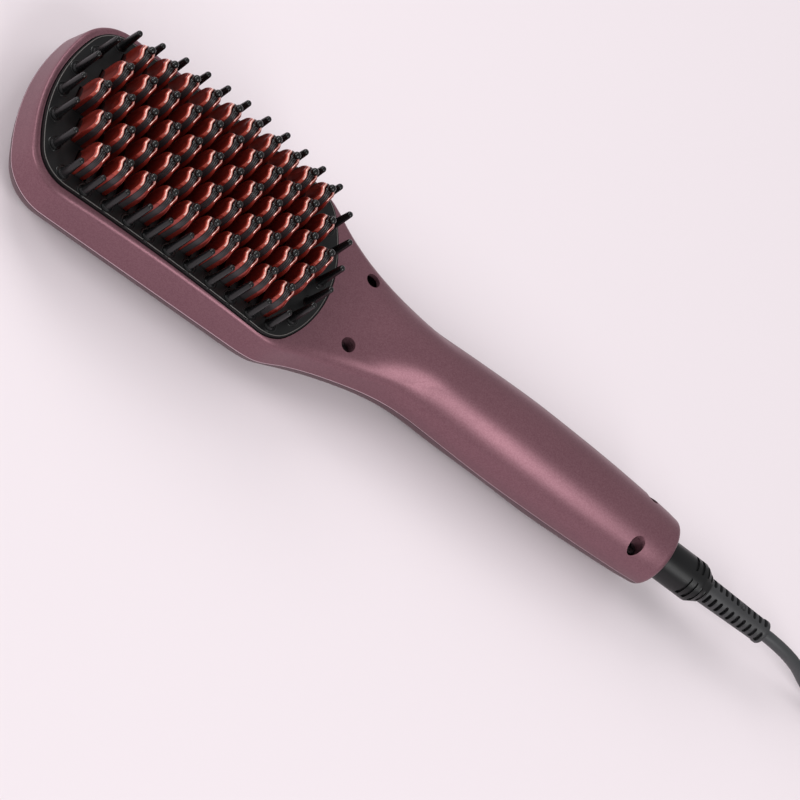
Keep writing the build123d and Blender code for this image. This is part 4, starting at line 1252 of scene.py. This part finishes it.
    def build_wells(self, shop: Workshop) -> None:
        """Wells of the screw recesses, cut off just under the outer surface."""
        wells = Heap()
        for recess in self.recesses:
            ring, faces = recess.well()
            for dx, dy in recess.spots():
                moved = [(x + dx, y + dy, z) for x, y, z in ring]
                wells.add([(x, y, min(z, self.lid_at(x, y))) for x, y, z in moved], faces)
        shop.finish(wells.mesh("screw_wells"), "casing", "shell")

    def lid_at(self, x: float, y: float) -> float:
        """Height just under the outer surface where the handle is round."""
        knots = [place for place, _ in self.handle]
        radii = np.array([radius for _, radius in self.handle])
        radius = float(monotone(knots, radii, np.array([max(x, knots[0])]))[0, 0])
        return self.axis + sqrt(max(radius**2 - y**2, 0.0)) - self.lid_gap

    def build_back(self, shop: Workshop, holes: Sequence[Thing]) -> None:
        """Back shell with the openings of its display and buttons."""
        shell = self.skin(Half.BACK, "back_casing")
        Shapes.carve(shell, holes)
        Shapes.smooth(shell, 38)
        # The back shell takes the darker copy of the lacquer: painted shade.
        shop.finish(shell, "casing", "shell", ["back_shell"], look="shell_shade")


# ---- Display and buttons -------------------------------------------------------------
@dataclass
class Controls:
    """Openings of the display window and the three buttons in the back."""

    window_x: float = 88.0
    window_size: tuple[float, float] = (15.0, 9.0)
    window_corner: float = 1.5
    window_gap: float = 0.15
    buttons: tuple = ((103.0, 4.0), (114.5, 3.2), (124.5, 3.2))
    button_gap: float = 0.3
    cut_from: float = -2.0
    cut_to: float = 9.0

    def holes(self) -> list[Thing]:
        """Cutters of the window's and buttons' openings."""
        made = []
        for x, radius in self.buttons:
            outline = Shapes.disc((x, 0), radius + self.button_gap, 48)
            made.append(Shapes.prism("button_cutter", outline, self.cut_from, self.cut_to))
        length = self.window_size[0] / 2 + self.window_gap
        breadth = self.window_size[1] / 2 + self.window_gap
        corner = self.window_corner
        outline = []
        for quarter, (along, across) in enumerate(((1, 1), (-1, 1), (-1, -1), (1, -1))):
            cx = along * length - corner * along
            cy = across * breadth - corner * across
            for angle in np.linspace(quarter * pi / 2, (quarter + 1) * pi / 2, 8):
                outline.append((self.window_x + cx + corner * cos(angle), cy + corner * sin(angle)))
        made.append(Shapes.prism("window_cutter", outline, self.cut_from, self.cut_to))
        return made


# ---- Bristle guard -------------------------------------------------------------------
@dataclass
class Guard:
    """Thick bristles round the field, each with its collar and moulded ring."""

    plate_height: float = GUARD_TOP
    crown_radius: float = CROWN_RADIUS
    side_height: float = 14.3
    side_droop: float = 4.4
    base_radius: float = 1.6
    tip_radius: float = 1.1
    base_height: float = 0.9
    dome_share: float = 0.9
    least_radius: float = 0.001
    foot_profile: tuple[Plan, ...] = (
        (2.85, -0.3),
        (2.85, 0.02),
        (2.7, 0.14),
        (2.5, 0.14),
        (2.4, 0.02),
        (2.05, 0.02),
        (1.95, 0.3),
        (1.7, 0.55),
    )
    ends: tuple = ((-54.1, 0.0, 12.7), (53.8, 0.0, 13.4))
    corners: tuple = (
        (-52.8, 10.1, 13.0),
        (-49.0, 20.0, 12.6),
        (-42.8, 27.9, 11.5),
        (42.4, 27.5, 12.1),
        (49.0, 19.8, 13.5),
        (52.6, 10.3, 13.8),
    )
    side_x: tuple = (-34.2, -25.4, -16.9, -8.9, -0.5, 8.2, 16.9, 25.6, 34.3)
    side_y: float = 28.9
    bead_radius: float = 0.16
    bead_inset: float = 0.55
    bead_sides: int = 8
    bead_step: float = 2.0

    def places(self) -> list[Point]:
        """Plan place and height of every guard bristle."""
        spots = [*self.ends, *self.corners, *((x, -y, high) for x, y, high in self.corners)]
        for x in self.side_x:
            high = self.side_height - self.side_droop * (x / FIELD_REACH[0]) ** 2
            spots += [(x, self.side_y, high), (x, -self.side_y, high)]
        return spots

    def plate_at(self, x: float) -> float:
        """Height of the guard plate's top."""
        return self.plate_height - self.crown_radius + sqrt(self.crown_radius**2 - x**2)

    def build_bead(self, shop: Workshop, outline: Sequence[Plan]) -> None:
        """Makes the fine bead along the frame's edge, in a light grey that is a painted highlight.

        Args:
            shop: what finishes the piece.
            outline: plan outline that the bead follows.
        """
        path = []
        for (x0, y0), (x1, y1) in zip(outline, list(outline[1:]) + [outline[0]]):
            steps = max(1, round(hypot(x1 - x0, y1 - y0) / self.bead_step))
            path += [(x0 + (x1 - x0) * k / steps, y0 + (y1 - y0) * k / steps) for k in range(steps)]
        points = []
        count, sides = len(path), self.bead_sides
        for i, (x, y) in enumerate(path):
            ahead, behind = path[(i + 1) % count], path[i - 1]
            way = Vector((ahead[0] - behind[0], ahead[1] - behind[1])).normalized()
            level = self.plate_at(x)
            for k in range(sides):
                a = 2 * pi * k / sides
                out = self.bead_radius * cos(a)
                points.append((x + out * way.y, y - out * way.x, level + self.bead_radius * sin(a)))
        faces = Shapes.strips(count, sides, closed=True)
        bead = Shapes.from_points("guard_bead", points, faces, 80)
        # The bead's light grey is a painted highlight on the black frame.
        shop.finish(bead, "casing", "black_plastic", look="guard_highlight")

    def bristle(self, top: float) -> tuple[list, list]:
        """One bristle with its collar and moulded ring, about its own axis."""
        dome = self.tip_radius
        profile = [*self.foot_profile, (self.base_radius, self.base_height)]
        for share in (0.25, 0.5, 0.75):
            radius = self.base_radius + (self.tip_radius - self.base_radius) * share
            rise = (top - dome - self.base_height) * share
            profile.append((radius, self.base_height + rise))
        for turn in np.linspace(0, pi / 2, 7):
            radius = dome * cos(turn) * (1 - self.least_radius) + self.least_radius
            profile.append((radius, top - dome + self.dome_share * dome * sin(turn)))
        return Shapes.lathe(profile, 20)

    def build(self, shop: Workshop) -> None:
        """Makes the bristles as one moulded set."""
        bristles = Heap()
        for x, y, top in self.places():
            bristles.add(*self.bristle(top), shift=(x, y, self.plate_at(x)))
        shop.finish(bristles.mesh("guard_bristles", 50), "casing", "black_nylon", ["guard_tines"])


# ---- Heating field -------------------------------------------------------------------
class FinTone(IntEnum):
    """Material places of a fin: red, a painted highlight and lighter painted red on the lip, and
    painted shade at the foot.
    """

    RED = 0
    HIGHLIGHT = 1
    LIT = 2
    FOOT = 3


@dataclass
class Field:
    """Rows of folded heating fins with ribbed cores and ball-tipped pins."""

    pitch: float = 8.5
    row_pitch: float = 10.77
    counts: tuple[int, ...] = (10, 11, 12, 11, 10)
    guard_top: float = GUARD_TOP
    tooth_height: float = 18.2
    droop_x: float = 5.0
    droop_y: float = 1.04
    below_ball: float = 1.75
    half_length: float = 4.3
    inner: float = 1.1
    thickness: float = 0.7
    lip: float = 0.5
    lip_round: float = 1.3
    draft: float = 2.9
    foot: float = 21.4
    bulge: float = 0.5
    bulge_reach: float = 1.25
    waist: float = 0.18
    waist_place: float = 2.7
    waist_reach: float = 0.9
    bulge_depth: float = 7.0
    lip_depth: float = 6.0
    inner_bulge: float = 0.85
    peak_share: float = 0.25
    inner_drop: float = 0.2
    outline: tuple = ((0.0, 0.0), (1.2, 0.02), (1.9, 0.25), (3.2, 1.7), (4.05, 3.9), (4.3, 6.6))
    across: tuple = (0.0, 0.5, 1.0, 1.5, 2.0, 2.5, 3.0, 3.4, 3.8, 4.05, 4.2, 4.3)
    core_half: float = 1.0
    core_rise: float = 0.3
    core_foot: float = 0.9
    core_flank: float = 2.0
    core_steps: int = 25
    rib_depth: float = 0.32
    core_edge: float = 0.25
    overhang: float = 0.15
    boss: tuple[Plan, ...] = ((0.001, -3.4), (1.25, -3.4), (1.2, -1.9), (1.05, -1.7), (0.8, -1.6))
    ball_radius: float = 1.36
    ball_start: float = -0.7
    # Half reaches along the fin of the lip's lighter painted red and of its painted highlight.
    lit_half: float = 3.7
    highlight_half: float = 3.1

    def centres(self, row: int) -> list[Point]:
        """Ball centres of one row."""
        y = (2 - row) * self.row_pitch
        start = -self.pitch * (self.counts[row] - 1) / 2
        spots = []
        for place in range(self.counts[row]):
            x = start + place * self.pitch
            fall = self.droop_x * (x / FIELD_REACH[0]) ** 2
            fall += self.droop_y * (y / FIELD_REACH[1]) ** 2
            spots.append((x, y, self.guard_top + self.tooth_height - fall))
        return spots

    def stations(self) -> list[tuple[float, float]]:
        """Places across a fin with the drop of its crowned top."""
        knots = [k for k, _ in self.outline]
        drops = np.array([d for _, d in self.outline])
        half = np.array(self.across)
        falls = monotone(knots, drops, half)[:, 0]
        right = list(zip(half, falls))
        return [(-y, fall) for y, fall in reversed(right[1:])] + right

    def section(self, y: float, fall: float, tip: float) -> list[Plan]:
        """Section of a leaf as (distance from the fin's middle, height) points.

        Args:
            y: place across the fin.
            fall: drop of the crowned top there.
            tip: height of the top's middle.

        Returns:
            The closed loop, up the outer face, over the lip and down the inner face.
        """
        top = tip - fall
        slope = tan(radians(self.draft))
        waist = self.waist * np.exp(-(((abs(y) - self.waist_place) / self.waist_reach) ** 2))
        wave = self.bulge * np.exp(-((y / self.bulge_reach) ** 2)) - waist
        middle = self.foot + 0.35 * (top - self.foot)
        loop = []
        for level in (self.foot, middle, top - 4.5, top - 2.8, top - 1.7):
            swell = wave * max(0.0, 1 - (top - level) / self.bulge_depth)
            lip = self.lip * max(0.0, 1 - (top - level) / self.lip_depth)
            face = self.inner + self.thickness + lip
            loop.append((face + slope * (tip - level) + swell, level))
        outer = self.inner + self.thickness + self.lip + slope * fall + wave
        inner = self.inner + self.inner_bulge * wave
        peak = inner + self.peak_share * (outer - inner)
        for a in np.linspace(0, pi / 2, 7):
            loop.append((peak + (outer - peak) * cos(a), top - self.lip_round * (1 - sin(a))))
        for a in (pi / 4, pi / 2):
            loop.append((peak - (peak - inner) * sin(a), top - self.inner_drop * (1 - cos(a))))
        for level in (top - 1.2, top - 3.0, self.foot):
            swell = self.inner_bulge * wave * max(0.0, 1 - (top - level) / self.bulge_depth)
            loop.append((self.inner + swell, level))
        return loop

    def leaf(self, centre: Point, side: int) -> tuple[list, list, list]:
        """One leaf of a folded fin.

        Args:
            centre: ball centre of its tooth.
            side: -1 for the leaf towards the head's tip, 1 for the other.

        Returns:
            Vertices, faces and the material place of each face.
        """
        cx, cy, cz = centre
        columns = self.stations()
        points = []
        for y, fall in columns:
            loop = self.section(y, fall, cz - self.below_ball)
            points += [(cx + side * across, cy + y, z) for across, z in loop]
        wide, rings = len(loop), len(columns)
        places = []
        for (y, _), (beyond, _) in zip(columns, columns[1:]):
            places += [self.tone(strip, side, abs(y + beyond) / 2) for strip in range(wide)]
        places += [FinTone.RED, FinTone.RED]
        return points, Shapes.strips(rings, wide) + Shapes.caps(rings, wide), places

    def tone(self, strip: int, side: int, reach: float) -> FinTone:
        """Tone of a leaf's face: a painted highlight along the middle of its lip, lighter painted
        red round it on the near leaf, and painted shade at its foot.

        Args:
            strip: place of the face round the leaf's section.
            side: -1 for the leaf towards the head's tip, 1 for the other.
            reach: distance of the face from the leaf's middle.

        Returns:
            The face's material place.
        """
        bright = reach < self.highlight_half
        if strip == 0:
            return FinTone.FOOT
        if reach > self.lit_half:
            return FinTone.RED
        if side > 0:
            return FinTone.HIGHLIGHT if strip == 10 and bright else FinTone.RED
        if strip in (9, 10):
            return FinTone.HIGHLIGHT if bright else FinTone.LIT
        return FinTone.LIT if strip in (7, 8, 11) else FinTone.RED

    def core(self, centre: Point) -> tuple[list, list]:
        """One ribbed core between two leaves.

        Args:
            centre: ball centre of its tooth.

        Returns:
            Vertices and faces.
        """
        cx, cy, cz = centre
        tip = cz - self.below_ball + self.core_rise
        stretch = 1 + self.overhang / self.half_length
        columns = [(y * stretch, fall) for y, fall in self.stations()]
        half, low = self.core_half, self.foot + self.core_foot
        ribs = []
        for step in range(self.core_steps):
            across = half * (1 - 2 * step / (self.core_steps - 1))
            rib = abs(cos(1.5 * pi * across / half + pi / 2 + pi / 2))
            edge = self.core_edge * (abs(across) / half) ** 6
            ribs.append((across, -self.rib_depth * (1 - rib) - edge))
        points = []
        for y, fall in columns:
            top = tip - fall
            loop = [(half, low), (half, top - self.core_flank)]
            loop += [(across, top + dip) for across, dip in ribs]
            loop += [(-half, top - self.core_flank), (-half, low)]
            points += [(cx + across, cy + y, z) for across, z in loop]
        rings, wide = len(columns), len(loop)
        return points, Shapes.strips(rings, wide) + Shapes.caps(rings, wide)

    def pin(self) -> tuple[list, list]:
        """Pin with boss and ball about its ball centre."""
        ball = self.ball_radius
        profile = list(self.boss)
        for turn in np.linspace(self.ball_start * pi / 2, pi / 2, 12):
            profile.append((max(ball * cos(turn), 0.001), ball * sin(turn)))
        return Shapes.lathe(profile, 20)

    def build_row(self, shop: Workshop, row: int) -> None:
        """Makes one row's fins and its cores with pins."""
        leaves, cores = Heap(), Heap()
        pin_points, pin_faces = self.pin()
        for centre in self.centres(row):
            for side in (-1, 1):
                points, faces, places = self.leaf(centre, side)
                leaves.add(points, faces, places=places)
            points, faces = self.core(centre)
            cores.add(points, faces, places=[0] * len(faces))
            cores.add(pin_points, pin_faces, centre, [1] * len(pin_faces))
        fins = leaves.mesh(f"fins_{row + 1}", 45)
        # Painted highlight, lighter painted red and painted shade for the leaves' other faces.
        tones = ["fin_highlight", "fin_lit", "fin_foot"]
        shop.finish(fins, "casing", "red_fin", [f"fin_row_{row + 1}"], tones)
        fins.data.polygons.foreach_set("material_index", leaves.places)
        teeth = cores.mesh(f"cores_{row + 1}", 45)
        nodes = [f"bristle_row_{row + 1}"]
        shop.finish(teeth, "casing", "black_plastic", nodes, ["ball_gloss"], look="core_resin")
        teeth.data.polygons.foreach_set("material_index", cores.places)

    def build(self, shop: Workshop) -> None:
        """Makes all rows."""
        for row in range(len(self.counts)):
            self.build_row(shop, row)


# ---- Swivel --------------------------------------------------------------------------
@dataclass
class Swivel:
    """Turning collar and slotted sleeve of the cord's strain relief."""

    axis: float = AXIS
    shoulder_end: float = 236.0
    plug_length: float = 6.0
    plug_radius: float = 3.4
    root_radius: float = 4.9
    tip_radius: float = 4.25
    end: float = 264.6
    end_length: float = 2.6
    end_profile: tuple = ((-2.2, 0.15), (-1.8, 0.25), (-0.5, 0.25), (-0.1, 0.0), (0.0, -0.5))
    quarters: tuple[int, ...] = (0, 90, 180, 270)
    slot_pitch: float = 2.75
    slot_start: float = 237.6
    slot_count: int = 10
    slot_half_width: float = 0.7
    slot_half_length: float = 2.2
    slot_depth: float = 1.3
    slot_turn: float = 22.0
    cut_above: float = 1.0
    collar: tuple = (
        (193.0, 2.6),
        (193.0, 4.5),
        (195.05, 4.5),
        (195.05, 3.6),
        (195.95, 3.6),
        (195.95, 4.5),
        (209.4, 4.5),
        (209.4, 9.4),
        (210.9, 9.4),
        (210.9, 7.6),
        (231.0, 7.6),
        (231.9, 7.52),
        (232.5, 7.2),
        (235.7, 5.45),
        (236.0, 5.2),
        (236.0, 3.45),
        (230.0, 3.45),
        (230.0, 2.6),
    )
    grooves: tuple[Point, ...] = (
        (226.6, 7.6, 34.0),
        (229.3, 7.6, 34.0),
        (232.0, 7.4, 31.0),
        (234.6, 6.0, 27.0),
    )
    groove_half_width: float = 0.6
    groove_depth: float = 0.7
    groove_above: float = 1.2
    groove_least: float = 0.02
    groove_steps: int = 25

    def slot_cutter(self) -> Thing:
        """All slots of the sleeve as one mesh of round-ended prisms."""
        reach = self.slot_half_length - self.slot_half_width
        outline = []
        for sign in (1, -1):
            for angle in np.linspace(0, pi, 7):
                across = sign * (reach + self.slot_half_width * sin(angle))
                outline.append((sign * self.slot_half_width * cos(angle), across))
        count = len(outline)
        faces = [face[::-1] for face in Shapes.caps(2, count)] + Shapes.strips(2, count)
        slots = Heap()
        heights = (self.tip_radius - self.slot_depth, self.root_radius + self.cut_above)
        for quarter in self.quarters:
            turn = radians(self.slot_turn + quarter)
            for place in range(self.slot_count):
                x = self.slot_start + place * self.slot_pitch
                points = []
                for height in heights:
                    for along, across in outline:
                        y = across * cos(turn) + height * sin(turn)
                        z = -across * sin(turn) + height * cos(turn)
                        points.append((x + along, y, self.axis + z))
                slots.add(points, faces)
        return slots.mesh("slot_cutter")

    def groove_cutter(self) -> Thing:
        """Round-ended grooves that run part of the way round the collar."""
        faces = Shapes.strips(self.groove_steps, 4)
        faces += [face[:1] + face[:0:-1] for face in Shapes.caps(self.groove_steps, 4)]
        grooves = Heap()
        for x, radius, reach in self.grooves:
            end_turn = degrees(self.groove_half_width / radius)
            low, high = radius - self.groove_depth, radius + self.groove_above
            for quarter in self.quarters:
                points = []
                for turn in np.linspace(-reach, reach, self.groove_steps):
                    past = max(0.0, (abs(turn) - reach + end_turn) / end_turn)
                    half = self.groove_half_width * sqrt(max(1 - past**2, 0.0)) + self.groove_least
                    angle = radians(turn + self.slot_turn + quarter)
                    for along, height in ((-half, low), (half, low), (half, high), (-half, high)):
                        z = self.axis + height * cos(angle)
                        points.append((x + along, height * sin(angle), z))
                grooves.add(points, faces)
        return grooves.mesh("groove_cutter")

    def build_collar(self, shop: Workshop) -> None:
        """Makes the turning collar with its grooves."""
        collar = self.turned("swivel_collar", self.collar, 72, 30, closed=True)
        Shapes.carve(collar, [self.groove_cutter()])
        Shapes.smooth(collar, 30)
        shop.finish(collar, "swivel", "black_plastic", ["swivel_barrel"])

    def turned(
        self, name: str, profile: Sequence[Plan], count: int, sharp: float, closed: bool = False
    ) -> Thing:
        """Body turned about the handle's axis from (x, radius) points.

        Args:
            name: object name.
            profile: its points.
            count: sides round the axis.
            sharp: crease angle in degrees.
            closed: whether the profile's last point joins its first.

        Returns:
            The body.
        """
        points, faces = Shapes.lathe([(radius, x) for x, radius in profile], count, closed)
        moved = [(z, x, self.axis + y) for x, y, z in points]
        return Shapes.from_points(name, moved, faces, sharp)

    def build(self, shop: Workshop) -> None:
        """Makes the collar and the sleeve with its slots."""
        self.build_collar(shop)
        root, tip, start = self.root_radius, self.tip_radius, self.shoulder_end
        taper = []
        for share in np.linspace(0, 1, 13):
            x = start + share * (self.end - self.end_length - start)
            taper.append((x, root + share * (tip - root)))
        profile = [
            (start - self.plug_length, 0.001),
            (start - self.plug_length, self.plug_radius),
            (start, self.plug_radius),
            *taper,
            *((self.end + x, tip + rise) for x, rise in self.end_profile),
            (self.end, 0.001),
        ]
        sleeve = self.turned("relief_sleeve", profile, 56, 35)
        Shapes.carve(sleeve, [self.slot_cutter()])
        Shapes.smooth(sleeve, 35)
        shop.finish(sleeve, "swivel", "soft_black", ["strain_relief"])


def main() -> None:
    """Builds the studio and dresses every sub-assembly in turn."""
    Studio().build()
    palette = Palette()
    palette.dress_nodes()
    shop = Workshop(palette)
    Cord().build(shop)
    casing = Casing()
    casing.build_front(shop)
    casing.build_back(shop, Controls().holes())
    guard = Guard()
    guard.build(shop)
    guard.build_bead(shop, casing.opening(-guard.bead_inset))
    Field().build(shop)
    Swivel().build(shop)


if __name__ == "__main__":
    main()
